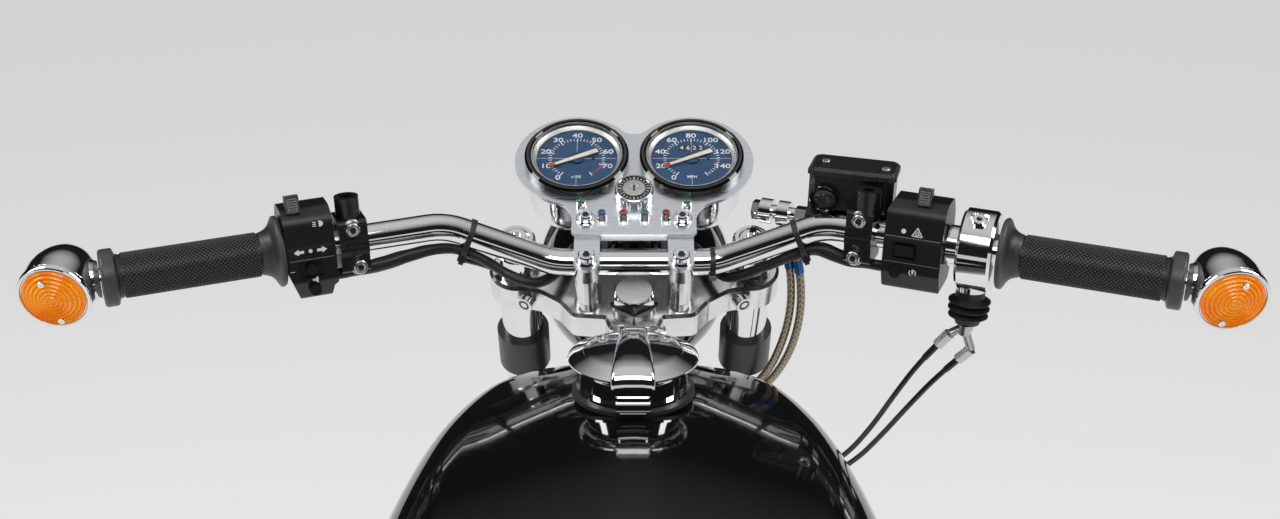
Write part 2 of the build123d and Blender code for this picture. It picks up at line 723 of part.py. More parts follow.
# Headlamp: shell, rim and lens on a level axis, and the ears that clamp round the fork tubes
lamp_mid = steer_ref + lamp_centre
lamp_axis = Axis(lamp_mid, (0, 1, 0))
lamp_back = lamp_r - 3
with BuildPart() as headlamp_shell:
    with BuildSketch(Plane(origin=lamp_mid, x_dir=(1, 0, 0), z_dir=(0, 0, 1))):
        with BuildLine():
            Line((0, 20), (0, -lamp_back))
            ThreePointArc((0, -lamp_back), (0.72 * lamp_r, -0.69 * lamp_back), (lamp_r, 0))
            Polyline((lamp_r, 0), (lamp_r, 20), (0, 20))
        make_face()
    revolve(axis=lamp_axis)
finish(headlamp_shell.part, "headlamp_shell")

with BuildPart() as headlamp_rim:
    with BuildSketch(Plane(origin=lamp_mid, x_dir=(1, 0, 0), z_dir=(0, 0, 1))):
        with BuildLine():
            Polyline((lamp_r - 9, 20), (lamp_r + 3, 20), (lamp_r + 4, 26), (lamp_r, 34), (lamp_r - 9, 37),
                     close=True)
        make_face()
    revolve(axis=lamp_axis)
finish(headlamp_rim.part, "headlamp_rim")

lens_r = lamp_r - 9.1
lens_rise = 14.0
lens_ball = (lens_r ** 2 + lens_rise ** 2) / (2 * lens_rise)
half_fall = lens_ball - sqrt(lens_ball ** 2 - (lens_r / 2) ** 2)
with BuildPart() as headlamp_lens:
    with BuildSketch(Plane(origin=lamp_mid, x_dir=(1, 0, 0), z_dir=(0, 0, 1))):
        with BuildLine():
            Polyline((0, 34 + lens_rise), (0, 20), (lens_r, 20), (lens_r, 34))
            ThreePointArc((lens_r, 34), (lens_r / 2, 34 + lens_rise - half_fall), (0, 34 + lens_rise))
        make_face()
    revolve(axis=lamp_axis)
finish(headlamp_lens.part, "headlamp_lens")

ear_mid = lamp_centre.Z * tilt_cos - lamp_centre.Y * tilt_sin
ear_tip = lamp_centre.Y * tilt_cos + lamp_centre.Z * tilt_sin
ear_half = 20.0
with BuildPart() as headlamp_brackets:
    for side, word in sides:
        with BuildSketch(yoke_plane(ear_mid - ear_half, side * fork_half, fork_offset)):
            Circle(fork_r + 5)
        extrude(amount=2 * ear_half)
        ear_x = lamp_r + 0.3 if side > 0 else -lamp_r - 5.3
        ear_plane = Plane(origin=on_yoke(ear_x, 0, ear_mid), x_dir=(0, tilt_cos, tilt_sin), z_dir=(1, 0, 0))
        with BuildSketch(ear_plane):
            with BuildLine():
                Polyline((fork_offset, -ear_half), (fork_offset, ear_half), (ear_tip + 6, 14),
                         (ear_tip + 14, 0), (ear_tip + 6, -14), close=True)
            make_face()
        extrude(amount=5)
    for side, word in sides:
        with BuildSketch(yoke_plane(ear_mid - 60, side * fork_half, fork_offset)):
            Circle(fork_r + fork_seat)
        extrude(amount=120, mode=Mode.SUBTRACT)
finish(headlamp_brackets.part, "headlamp_brackets")

# Grips: turned rubber with a flange at each end, columns are distance out and radius
grip_bore = bar_r + grip_seat
reservoir_end = reservoir_start + reservoir_wide
switch_start = reservoir_end + 2
switch_end = switch_start + switch_wide
drum_start = switch_end + 0.5
ring_start = drum_start + drum_wide
ring_end = ring_start + ring_wide
left_switch_end = left_switch_start + left_switch_wide
flange_profile = ((0, 27), (3, 28), (5, 26.5), (8.5, 20), (14.5, grip_r))
left_end_profile = ((114.5, grip_r), (116.5, 22), (124.5, 22), (125.5, 20))
right_end_profile = ((117, grip_r), (119, 22), (127, 22), (128, 20))
left_profile = [(left_switch_end + 0.5 + run, radius) for run, radius in flange_profile + left_end_profile]
right_profile = [(ring_end + 3 + run, radius) for run, radius in flange_profile + right_end_profile]
with BuildPart() as grip_left:
    add(turned_on_bar(-1, left_profile, grip_bore))
finish(grip_left.part, "grip_left")

with BuildPart() as throttle_grip:
    add(turned_on_bar(1, right_profile, grip_bore))
finish(throttle_grip.part, "throttle_grip")

ring_mid = (ring_start + ring_end) / 2 - 2.5
ring_r = 32.0
drum_r = 16.5
boot_r = 16.6
boot_collar_r = 11.5
boot_top = 34.0             # below the bar's axis
boot_root = 20.0
clamp_turn = 116.0          # the ring's clamp screw, round the bar from ahead
ring_profile = ((drum_start, drum_r - 1), (drum_start + 1, drum_r), (ring_start - 1, drum_r),
                (ring_start - 1, 24), (ring_start, 30), (ring_start + 2, ring_r), (ring_end - 2, ring_r),
                (ring_end, 30))
# Throttle housing: small drum, then the large ring the cables pull round, split at its clamp screw
with BuildPart() as throttle_housing:
    add(turned_on_bar(1, ring_profile, grip_bore))
    with BuildSketch(below_bar(1, ring_mid, 0, -boot_root)):
        Circle(boot_collar_r)
    extrude(amount=boot_top - boot_root)
    add(rod_between(bar_spot(1, drum_start - 6), bar_spot(1, ring_end + 9), grip_bore), mode=Mode.SUBTRACT)
    base = bar_plane(1, ring_mid + 2)
    out_dir = base.x_dir * cos(radians(clamp_turn)) + base.y_dir * sin(radians(clamp_turn))
    with BuildSketch(Plane(origin=base.origin + out_dir * (ring_r - 4), x_dir=base.z_dir, z_dir=out_dir)):
        RectangleRounded(14, 17, 3)
    extrude(amount=6, mode=Mode.SUBTRACT)
    with BuildSketch(Plane(origin=base.origin + out_dir * (ring_r - 5), x_dir=base.z_dir, z_dir=out_dir)):
        with Locations((0, 2)):
            Circle(5)
    extrude(amount=4.5)
    with BuildSketch(Plane(origin=base.origin + out_dir * (ring_r - 0.5), x_dir=base.z_dir, z_dir=out_dir)):
        with Locations((0, 2)):
            RegularPolygon(2.6, 6)
    extrude(amount=-3, mode=Mode.SUBTRACT)
    add(throttle_grip.part, mode=Mode.SUBTRACT)
finish(throttle_housing.part, "throttle_housing")

# Rubber bellows under the housing: collar, three folds and a cone, columns are radius and depth
boot_length = 28.0
boot_profile = ((boot_collar_r, 0), (boot_collar_r, 5.5), (boot_r, 8.5), (boot_r, 9.3), (11.5, 12.0),
                (boot_r - 0.3, 14.7), (boot_r - 0.3, 15.5), (11.5, 18.2), (boot_r - 1, 20.7),
                (boot_r - 1, 21.5), (11, 24), (9.5, boot_length))
with BuildPart() as throttle_boot:
    base = below_bar(1, ring_mid, 0, -boot_top)
    with BuildSketch(Plane(origin=base.origin, x_dir=base.x_dir, z_dir=base.x_dir.cross(base.z_dir))):
        with BuildLine():
            Polyline((0, 0), *boot_profile, (0, boot_length), close=True)
        make_face()
    revolve(axis=Axis(base.origin, base.z_dir))
finish(throttle_boot.part, "throttle_boot")

# Cable routes from the boot to the guide on the frame, from the steering reference point
boot_low = boot_top + boot_length
cable_r = 2.25
adjuster_r = 3.5
cable_routes = (
    ((243, -50, -16), (231, -44, -33), (214, -32, -68), (199, -18, -104), (181, -3, -138), (157, 12, -163),
     (130, 25, -178), (109, 34, -186), (88, 40, -190), (67, 40, -190)),
    ((259, -56, -26), (245, -48, -44), (226, -35, -76), (208, -20, -110), (189, -4, -143), (163, 12, -169),
     (133, 25, -185), (110, 34, -194), (88, 40, -199), (67, 40, -199)),
)
with BuildPart() as cable_adjusters:
    for route, ahead in zip(cable_routes, (5, -6)):
        top = bar_spot(1, ring_mid, ahead, -boot_low)
        end = steer_ref + Vector(*route[0])
        after = steer_ref + Vector(*route[1])
        run = (after - end).normalized()
        knee = end - run * 14
        ferrule = bar_spot(1, ring_mid, ahead, -boot_low - 8)
        add(rod_between(top, ferrule, adjuster_r + 1))
        add(rod_between((top + ferrule) / 2, knee, adjuster_r))
        with BuildSketch(Plane(origin=knee, z_dir=run)):
            RegularPolygon(5, 6)
        extrude(amount=14)
finish(cable_adjusters.part, "cable_adjusters")

with BuildPart() as throttle_cables:
    for route in cable_routes:
        add(tube_along([steer_ref + Vector(*point) for point in route], cable_r))
finish(throttle_cables.part, "throttle_cables")

# Guide on the right down tube that holds the ends of both cables
with BuildPart() as cable_guide:
    with BuildSketch(Plane(origin=steer_ref + Vector(50, 45, -194), x_dir=(0, 1, 0), z_dir=(1, 0, 0))):
        RectangleRounded(22, 26, 5)
    extrude(amount=17)
    add(rod_between(steer_ref + Vector(15, 61, -139), down_low_right, downtube_d / 2), mode=Mode.SUBTRACT)
finish(cable_guide.part, "cable_guide")

# Switch housings: rounded shells round the bar, drawn across the bar as ahead and up
switch_outline = ((-24, 8), (-17, 35), (14, 35), (24, 20), (24, -24), (15, -37), (-16, -37), (-24, -20))
switch_radii = (16, 15, 8, 12, 8, 6, 6, 9)
# columns are side, inner end, outer end, lever place, seam height, face outline as share of width and up
switch_table = (
    (-1, left_switch_start, left_switch_end, 264, -2,
     ((-0.02, 38), (1.02, 38), (1.02, -12), (0.75, -40), (0.16, -40), (0.08, -27), (-0.02, -24))),
    (1, switch_start, switch_end, 228, 9,
     ((-0.02, 26), (0.1, 38), (1.02, 38), (1.02, -30), (0.96, -40), (0.1, -40), (-0.02, -34))),
)
# what stands on each face, columns are kind, out, up, then half width and half height or radius
switch_fittings = (
    (("well", 257, -10.5, 9, 6.5), ("knob", 257, -9.5, 4.6, 6.0), ("button", 255.5, -27, 4.8, 2.5)),
    (("well", 219, -2, 9.5, 6.5), ("rocker", 219, -2, 8, 5), ("button", 213.5, -20, 5.0, 2.5)),
)
face_ahead = -24.0
for row, fittings, (_, word) in zip(switch_table, switch_fittings, sides):
    side, inner, outer, tab, seam, face_shape = row
    with BuildPart() as switchgear:
        first = outer if side < 0 else inner
        length = (outer - inner) / outer_share
        with BuildSketch(bar_plane(side, first)):
            with BuildLine():
                FilletPolyline(*switch_outline, radius=list(switch_radii), close=True)
            make_face()
        extrude(amount=length)
        with BuildSketch(rider_plane(side, inner, 0, 40)):
            with BuildLine():
                Polyline(*[(side * share * length, up) for share, up in face_shape], close=True)
            make_face()
        extrude(amount=-80, mode=Mode.INTERSECT)
        with BuildSketch(bar_plane(side, first)):
            with Locations((face_ahead, seam), (-face_ahead, seam)):
                Rectangle(1.8, 1)
        extrude(amount=length, mode=Mode.SUBTRACT)
        with BuildSketch(bar_plane(side, tab, -8, 38)):
            Trapezoid(11, 15, 80, rotation=8)
        extrude(amount=5.5, both=True)
        for kind, out, up, wide, high in fittings:
            if kind == "well":
                with BuildSketch(rider_plane(side, out, up, -face_ahead)):
                    RectangleRounded(2 * wide, 2 * high, 1.5)
                extrude(amount=-2.5, mode=Mode.SUBTRACT)
            elif kind == "rocker":
                with BuildSketch(rider_plane(side, out, up, -face_ahead - 3)):
                    RectangleRounded(2 * wide, 2 * high, 1)
                extrude(amount=4.5, taper=8)
            else:
                with BuildSketch(rider_plane(side, out, up, -face_ahead - 3)):
                    Circle(wide)
                extrude(amount=3 + high, taper=4)
        add(rod_between(bar_spot(side, inner - 5), bar_spot(side, outer + 5), bar_r + bar_seat),
            mode=Mode.SUBTRACT)
    finish(switchgear.part, f"switchgear_{word}")

# outline of a lever clamp round the bar, seen along it: ahead and up
clamp_height = 43.0
clamp_outline = ((-18, 8), (-18, clamp_height / 2), (14, clamp_height / 2), (14, -clamp_height / 2),
                 (-18, -clamp_height / 2), (-18, -8), (-21, 0))
clamp_radii = (6, 4, 4, 4, 4, 6, 8)

# Master cylinder: reservoir, cylinder, clamp and mirror boss in one casting, leaning back a little
lean = 7.0
res_low = 13.0
res_high = 40.0
res_depth = 40.0
res_ahead = 22.0
res_corner = 5.0            # corners of the reservoir cut at 45 degrees
sight_r = 9.0
clamp_start = reservoir_start + 35
clamp_wide = 20.0
mirror_r = 10.0
mirror_bore_r = 5.0         # M10 thread
mirror_bore_depth = 18.0
mirror_top = 38.0
mirror_out = clamp_start + 13
lift_plane = bar_plane(1, reservoir_start).rotated((0, 0, lean))
lid_plane = Plane(origin=lift_plane.origin + lift_plane.x_dir * res_ahead + lift_plane.y_dir * res_high
                  + lift_plane.z_dir * (reservoir_wide / outer_share / 2),
                  x_dir=lift_plane.z_dir, z_dir=lift_plane.y_dir)
with BuildPart() as master_cylinder:
    with BuildSketch(lid_plane) as body_outline:
        Rectangle(reservoir_wide / outer_share, res_depth)
        chamfer(body_outline.vertices(), length=res_corner)
    extrude(amount=res_low - res_high)
    with BuildSketch(bar_plane(1, reservoir_start - 4)):
        with Locations((25, -4)):
            Circle(12.5)
    extrude(amount=70)
    with BuildSketch(bar_plane(1, reservoir_start + 6)):
        with Locations((24, 8)):
            Rectangle(16, 18)
    extrude(amount=54)
    with BuildSketch(bar_plane(1, clamp_start)):
        with BuildLine():
            FilletPolyline(*clamp_outline, radius=list(clamp_radii), close=True)
        make_face()
    extrude(amount=clamp_wide / outer_share)
    with BuildSketch(below_bar(1, mirror_out, -8, 14)):
        Circle(mirror_r)
    extrude(amount=14 - mirror_top)
    with BuildSketch(bar_plane(1, reservoir_start + 52)):
        with Locations((42, -6)):
            RectangleRounded(34, 20, 6)
    extrude(amount=26)
    sight = lift_plane.origin + lift_plane.x_dir * (res_ahead - res_depth / 2) + lift_plane.y_dir * 22
    sight += lift_plane.z_dir * 14
    with BuildSketch(Plane(origin=sight, x_dir=lift_plane.z_dir, z_dir=lift_plane.x_dir * -1)):
        Circle(sight_r + 2)
    extrude(amount=0.8)
    with BuildSketch(Plane(origin=sight, x_dir=lift_plane.z_dir, z_dir=lift_plane.x_dir * -1)):
        Circle(sight_r)
    extrude(amount=3, both=True, mode=Mode.SUBTRACT)
    with BuildSketch(below_bar(1, mirror_out, -8, mirror_top)):
        Circle(mirror_bore_r)
    extrude(amount=mirror_bore_depth, mode=Mode.SUBTRACT)
    add(rod_between(bar_spot(1, reservoir_start - 18), bar_spot(1, reservoir_end + 29), bar_r + bar_seat),
        mode=Mode.SUBTRACT)
finish(master_cylinder.part, "master_cylinder")

lid_lip = 1.5
lid_rim = 4.0
lid_slope = 2.5
with BuildPart() as reservoir_lid:
    for start, height, slope in ((0, lid_rim, 0), (lid_rim, lid_slope, 45)):
        with BuildSketch(lid_plane.offset(start)) as lid_outline:
            Rectangle(reservoir_wide / outer_share + 2 * lid_lip, res_depth + 2 * lid_lip)
            chamfer(lid_outline.vertices(), length=res_corner)
        extrude(amount=height, taper=slope)
finish(reservoir_lid.part, "reservoir_lid")

# Clutch lever perch: clamp, mirror boss and the fork that holds the lever
perch_wide = 21.0
perch_end = left_switch_start - 4
perch_mirror_r = 9.5
with BuildPart() as clutch_perch:
    with BuildSketch(bar_plane(-1, perch_end)):
        with BuildLine():
            FilletPolyline(*clamp_outline, radius=list(clamp_radii), close=True)
        make_face()
        with Locations((26, -6)):
            RectangleRounded(50, 20, 6)
    extrude(amount=perch_wide / outer_share)
    with BuildSketch(below_bar(-1, perch_end - 10, -4, 16)):
        Circle(perch_mirror_r)
    extrude(amount=16 - mirror_top)
    with BuildSketch(below_bar(-1, perch_end - 10, -4, mirror_top)):
        Circle(mirror_bore_r)
    extrude(amount=mirror_bore_depth, mode=Mode.SUBTRACT)
    add(rod_between(bar_spot(-1, perch_end - 29), bar_spot(-1, perch_end + 11), bar_r + bar_seat),
        mode=Mode.SUBTRACT)
finish(clutch_perch.part, "clutch_perch")

# Levers: from the pivot round in front of the grip to a ball end, columns are out, ahead, up
lever_route = ((215.5, 43, -6), (230, 46, -7), (252, 60, -10), (284, 68, -14), (338, 63, -20),
               (390, 66, -26))
for (side, word), name, shift in zip(sides, ("clutch_lever", "brake_lever"), (20, 0)):
    with BuildPart() as lever:
        points = [bar_spot(side, out + (shift if index < 3 else 0), ahead, up)
                  for index, (out, ahead, up) in enumerate(lever_route)]
        add(tube_along(points, 6))
        with Locations(Plane(origin=points[-1], z_dir=(points[-1] - points[-2]).normalized())):
            Sphere(8.5)
    finish(lever.part, name)

# Double banjo fitting on the inner end of the master cylinder
with BuildPart() as banjo_fitting:
    with BuildSketch(bar_plane(1, reservoir_start - 4)):
        with Locations((25, -4)):
            RegularPolygon(8.5, 6)
    extrude(amount=-10)
    with BuildSketch(bar_plane(1, reservoir_start - 4)):
        with Locations((25, -4)):
            Circle(6)
    extrude(amount=-42)
    for out in (120, 106):
        with BuildSketch(bar_plane(1, out)):
            with Locations((25, -4)):
                Circle(10.5)
        extrude(amount=-10)
    with BuildSketch(bar_plane(1, 96)):
        with Locations((25, -4)):
            RegularPolygon(8.5, 6)
    extrude(amount=-6)
finish(banjo_fitting.part, "banjo_fitting")

# Brake hoses: from the banjos down beside the fork to the union on the lower yoke
hose_r = 3.5
# the upper points are level offsets from the reference point, the lower ones are across, ahead, up
hose_upper = ((118, 22, 56), (127, 22, 38), (132, 27, 10), (133, 34, -20), (128, 42, -52))
hose_lower = ((118, 12, -100), (104, 13, -126), (84, 17, -146), (63, 26, -159), (50, 34, -170))
union_top = lower_yoke_top + 14
with BuildPart() as brake_hoses:
    for shift in (0, 8):
        route = [steer_ref + Vector(x + shift, y - shift / 2, z - shift * 0.4) for x, y, z in hose_upper]
        route += [on_yoke(x + shift, ahead - shift / 4, up) for x, ahead, up in hose_lower]
        route += [on_yoke(hose_lower[-1][0] + shift, hose_lower[-1][1] - shift / 4, union_top)]
        add(tube_along(route, hose_r))
finish(brake_hoses.part, "brake_hoses")

with BuildPart() as hose_union:
    with BuildSketch(yoke_plane(lower_yoke_top, 54, 33)):
        RectangleRounded(26, 20, 4)
    extrude(amount=union_top - lower_yoke_top)
finish(hose_union.part, "hose_union")

# Indicators: round bullet shells at the bar ends, on an axis that dips to the rear
dip = 15.0
pod_r = 27.5
pod_axis = Vector(0, cos(radians(dip)), sin(radians(dip)))
pod_outs = (426.0, 439.0)
neck_length = 26.4
neck_r = 14.0
with BuildPart() as indicator_housings:
    for (side, word), out in zip(sides, pod_outs):
        mid = bar_spot(side, out)
        with BuildSketch(Plane(origin=mid, x_dir=(1, 0, 0), z_dir=Vector(1, 0, 0).cross(pod_axis))):
            with BuildLine():
                Polyline((4, 42), (0, 42), (0, -14), (pod_r - 1, -14), (pod_r, -12), (pod_r, -2))
                ThreePointArc((pod_r, -2), (pod_r * 0.72, 26), (4, 42))
            make_face()
        revolve(axis=Axis(mid, pod_axis))
        add(turned_on_bar(side, ((out - neck_length, neck_r), (out - 5, pod_r - 3.5)), 0.01))
        with BuildSketch(Plane(origin=mid - pod_axis * 14, x_dir=(1, 0, 0), z_dir=pod_axis * -1)):
            Rectangle(120, 120)
        extrude(amount=30, mode=Mode.SUBTRACT)
        add(rod_between(bar_spot(side, 375), bar_spot(side, out - 20), bar_r - bar_wall - 0.1))
finish(indicator_housings.part, "indicator_housings")

pod_lens_r = 24.0
lens_edge = 2.0
lens_dome = 8.0
dome_ball = (pod_lens_r ** 2 + (lens_dome - lens_edge) ** 2) / (2 * (lens_dome - lens_edge))
dome_half = dome_ball - sqrt(dome_ball ** 2 - (pod_lens_r / 2) ** 2)
with BuildPart() as indicator_lenses:
    for (side, word), out in zip(sides, pod_outs):
        base = bar_spot(side, out) - pod_axis * 14
        with BuildSketch(Plane(origin=base, x_dir=(1, 0, 0), z_dir=Vector(1, 0, 0).cross(pod_axis))):
            with BuildLine():
                Polyline((0, -lens_dome), (0, 0), (pod_lens_r, 0), (pod_lens_r, -lens_edge))
                ThreePointArc((pod_lens_r, -lens_edge), (pod_lens_r / 2, dome_half - lens_dome),
                              (0, -lens_dome))
            make_face()
        revolve(axis=Axis(base, pod_axis))
finish(indicator_lenses.part, "indicator_lenses")

# Wiring sleeves: along the bar from each switch housing, through its ties, to the headlamp shell
wire_r = 4.5
wire_drop = bar_r + wire_r + 0.3
# columns are side, then points out, ahead, up on the outer leg, on the rise, and level offsets inside
wire_plans = (
    (-1, ((238, 2, -27), (224, 2, -27), (200, 1, -25), (176, 0, -19)),
     ((143, 0, -wire_drop), (121, 0, -wire_drop)),
     ((-100, -12, 28), (-84, -12, 21), (-70, 0, 20), (-60, 20, 24), (-53, 44, 31), (-44, 68, 27),
      (-36, 93, 21))),
    (1, ((203, 2, -27), (188, 2, -27), (169, 1, -26)), ((143, 0, -wire_drop), (121, 0, -wire_drop)),
     ((92, -5, 27), (76, 0, 21), (64, 18, 23), (55, 44, 31), (45, 68, 27), (36, 93, 21))),
)
for (side, outer_spots, rise_spots, inner_spots), (_, word) in zip(wire_plans, sides):
    route = [bar_spot(side, *spot) for spot in outer_spots]
    route += [rise_plane(side, *spot).origin for spot in rise_spots]
    route += [steer_ref + Vector(*spot) for spot in inner_spots]
    with BuildPart() as wiring:
        add(tube_along(route, wire_r))
    finish(wiring.part, f"wiring_{word}")

# Rubber ties round the bar and the sleeve under it
tie_wall = 1.4
tie_width = 4.5
with BuildPart() as cable_ties:
    for side, out in ((-1, 132), (1, 132)):
        with BuildSketch(rise_plane(side, out)):
            for r, mode in ((bar_r + tie_wall, Mode.ADD), (bar_r + 0.1, Mode.SUBTRACT)):
                with Locations((0, (bar_r - wire_drop - wire_r) / 2)):
                    SlotOverall(bar_r + wire_drop + wire_r + 2 * (r - bar_r), 2 * r, rotation=90, mode=mode)
        extrude(amount=tie_width / 2, both=True)
finish(cable_ties.part, "cable_ties")
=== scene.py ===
import json
import math

import bmesh
import bpy
from mathutils import Matrix, Vector, noise


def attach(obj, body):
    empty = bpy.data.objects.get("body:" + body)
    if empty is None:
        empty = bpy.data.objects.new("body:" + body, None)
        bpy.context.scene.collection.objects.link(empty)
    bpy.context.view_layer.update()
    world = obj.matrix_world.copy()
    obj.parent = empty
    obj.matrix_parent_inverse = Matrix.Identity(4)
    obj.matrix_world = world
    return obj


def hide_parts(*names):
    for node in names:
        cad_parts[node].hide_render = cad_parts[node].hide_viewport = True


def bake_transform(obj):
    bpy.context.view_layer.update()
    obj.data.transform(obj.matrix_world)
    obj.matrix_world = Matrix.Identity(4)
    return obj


# Dresses the front section of a motorcycle: +Y is forward, +X the rider's right, +Z up.
# Places and sizes in the dictionaries are in millimetres unless a note says otherwise.

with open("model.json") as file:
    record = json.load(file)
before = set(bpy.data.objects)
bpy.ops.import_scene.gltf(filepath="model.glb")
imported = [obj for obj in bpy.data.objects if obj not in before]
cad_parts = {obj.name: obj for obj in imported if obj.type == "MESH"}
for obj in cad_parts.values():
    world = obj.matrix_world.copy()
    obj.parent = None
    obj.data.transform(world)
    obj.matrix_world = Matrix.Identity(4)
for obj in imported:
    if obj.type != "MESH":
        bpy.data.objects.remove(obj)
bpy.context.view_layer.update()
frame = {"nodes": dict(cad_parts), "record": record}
cadNodes = frame["nodes"]
scene = bpy.context.scene
mm = 0.001
sideNames = {-1: "left", 1: "right"}
print("frame loaded")

# Places: the steering's rake, its reference point, and the corners of the bar's centre line
steering = {
    "rake": math.radians(26.0),
    "reference": Vector((0.0, 0.600, 0.100)),   # metres
    "barAhead": 13,
    "barUp": 35,
    # metres from the bar's middle, on the right
    "knee": Vector((0.066, 0, 0)),
    "elbow": Vector((0.152, -0.007, 0.034)),
    "end": Vector((0.397, -0.103, 0.0246)),
}


def axesMatrix(x, y, z, place):
    matrix = Matrix((x, y, z)).transposed().to_4x4()
    matrix.translation = place
    return matrix


def shifted(matrix, x=0.0, y=0.0, z=0.0):
    return matrix @ Matrix.Translation((x * mm, y * mm, z * mm))


def turned(matrix, degrees, axis="Z"):
    return matrix @ Matrix.Rotation(math.radians(degrees), 4, axis)


def tiltedAt(origin, tilt, x, ahead, up):
    # local x to the right, local y ahead along the tilted plane, local z out of it
    right = Vector((1, 0, 0))
    along = Vector((0, math.cos(tilt), math.sin(tilt)))
    out = Vector((0, -math.sin(tilt), math.cos(tilt)))
    return axesMatrix(right, along, out, origin + (right * x + along * ahead + out * up) * mm)


def yokeAt(x=0.0, ahead=0.0, up=0.0):
    return tiltedAt(steering["reference"], steering["rake"], x, ahead, up)


barMiddle = yokeAt(0, steering["barAhead"], steering["barUp"]).translation


def legAt(first, last, side, out, ahead, up):
    # local x ahead of the bar, local y above it, local z along it towards the rider's right
    flip = Vector((side, 1, 1))
    run = (steering[last] - steering[first]) * flip
    along = run.normalized() * side
    level = Vector((0, 0, 1)).cross(along).normalized()
    rise = along.cross(level)
    share = (out * mm - steering[first].x) / (steering[last].x - steering[first].x)
    start = barMiddle + steering[first] * flip
    return axesMatrix(level, rise, along, start + run * share + (level * ahead + rise * up) * mm)


def barAt(side, out, ahead=0.0, up=0.0):
    return legAt("elbow", "end", side, out, ahead, up)


def riseAt(side, out, ahead, up):
    return legAt("knee", "elbow", side, out, ahead, up)


def riderAt(side, out, up, back):
    # faces the rider behind the bar: local x to the right along it, local y up
    base = barAt(side, out, -back, up)
    return axesMatrix(base.col[2].xyz, base.col[1].xyz, -base.col[0].xyz, base.translation)


def facing(place, direction, level=(1, 0, 0)):
    # local z along the direction, local x near the level one
    out = Vector(direction).normalized()
    across = (Vector(level) - out * out.dot(Vector(level))).normalized()
    return axesMatrix(across, out.cross(across), out, place)


def turn2d(angle, radius):
    # a dial's spot, from straight up and clockwise
    return Vector((math.sin(math.radians(angle)), math.cos(math.radians(angle)))) * radius


# Materials: roughness, tone and fine relief come from each one's own grain

def addNode(tree, kind, values=None, sources=None):
    node = tree.nodes.new("ShaderNode" + kind)
    for socket, value in (values or {}).items():
        node.inputs[socket].default_value = value
    for socket, source in (sources or {}).items():
        tree.links.new(source, node.inputs[socket])
    return node


def startMaterial(name, colour, metallic, roughness=0.35):
    material = bpy.data.materials.new(name)
    material.use_nodes = True
    shader = material.node_tree.nodes["Principled BSDF"]
    shader.inputs["Base Color"].default_value = (*colour, 1)
    shader.inputs["Metallic"].default_value = metallic
    shader.inputs["Roughness"].default_value = roughness
    return material, material.node_tree, shader


def addNoise(tree, scale, detail, stretch=(1, 1, 1)):
    coords = addNode(tree, "TexCoord")
    mapping = addNode(tree, "Mapping", {"Scale": stretch}, {"Vector": coords.outputs["Object"]})
    grain = addNode(tree, "TexNoise", {"Scale": scale, "Detail": detail},
                    {"Vector": mapping.outputs["Vector"]})
    return grain.outputs["Fac"]


def spread(tree, source, low, high, target):
    # spreads the middle of a grain's values over a range and feeds it to a socket
    ranged = addNode(tree, "MapRange", {"From Min": 0.3, "From Max": 0.7, "To Min": low, "To Max": high},
                     {"Value": source})
    tree.links.new(ranged.outputs["Result"], target)


def tint(tree, source, first, second, target, low=0.3, high=0.7):
    ramp = addNode(tree, "ValToRGB", None, {"Fac": source})
    for stop, position, colour in zip(ramp.color_ramp.elements, (low, high), (first, second)):
        stop.position = position
        stop.color = (*colour, 1)
    tree.links.new(ramp.outputs["Color"], target)


def addBump(tree, shader, source, strength, distance):
    bump = addNode(tree, "Bump", {"Strength": strength, "Distance": distance}, {"Height": source})
    tree.links.new(bump.outputs["Normal"], shader.inputs["Normal"])


def makeFinish(name, tones, metallic, rough, grain, bump=None, sockets=None):
    # tones are one colour or two that the grain blends, and a bump can have a grain of its own
    material, tree, shader = startMaterial(name, tones[0], metallic)
    source = addNoise(tree, *grain)
    spread(tree, source, *rough, shader.inputs["Roughness"])
    if len(tones) > 1:
        tint(tree, source, *tones, shader.inputs["Base Color"])
    if bump:
        strength, distance, *ownGrain = bump
        addBump(tree, shader, addNoise(tree, *ownGrain) if ownGrain else source, strength, distance)
    for socket, value in (sockets or {}).items():
        shader.inputs[socket].default_value = value
    return material


def satinBlack(name, colour, rough=(0.28, 0.42)):
    return makeFinish(name, [colour], 0.0, rough, (400, 4), (0.06, 0.0003))


def clearGlass(name, roughness):
    return makeFinish(name, [(1.0, 1.0, 1.0)], 0.0, (roughness, roughness + 0.04), (25, 3), None,
                      {"Transmission Weight": 1.0, "IOR": 1.1})


def pebbledLid():
    # moulded pebbles a millimetre or so across
    material, tree, shader = startMaterial("pebbledLid", (0.008, 0.008, 0.009), 0.0)
    coords = addNode(tree, "TexCoord")
    pebbles = addNode(tree, "TexVoronoi", {"Scale": 620}, {"Vector": coords.outputs["Object"]})
    spread(tree, pebbles.outputs["Distance"], 0.28, 0.45, shader.inputs["Roughness"])
    addBump(tree, shader, pebbles.outputs["Distance"], 0.9, 0.0006)
    return material


def knurlPaintedHighlightAndShade():
    # painted highlight and painted shade: the base colour is paler on the diamonds' tops and darker in the
    # grooves between them, set by the mesh's pointiness
    material = makeFinish("knurlPaintedHighlightAndShade", [(0.010, 0.010, 0.011)], 0.0, (0.32, 0.5), (700, 4), (0.1, 0.0002))
    tree = material.node_tree
    relief = addNode(tree, "NewGeometry")
    tint(tree, relief.outputs["Pointiness"], (0.003, 0.003, 0.003), (0.060, 0.060, 0.062),
         tree.nodes["Principled BSDF"].inputs["Base Color"], 0.46, 0.56)
    return material


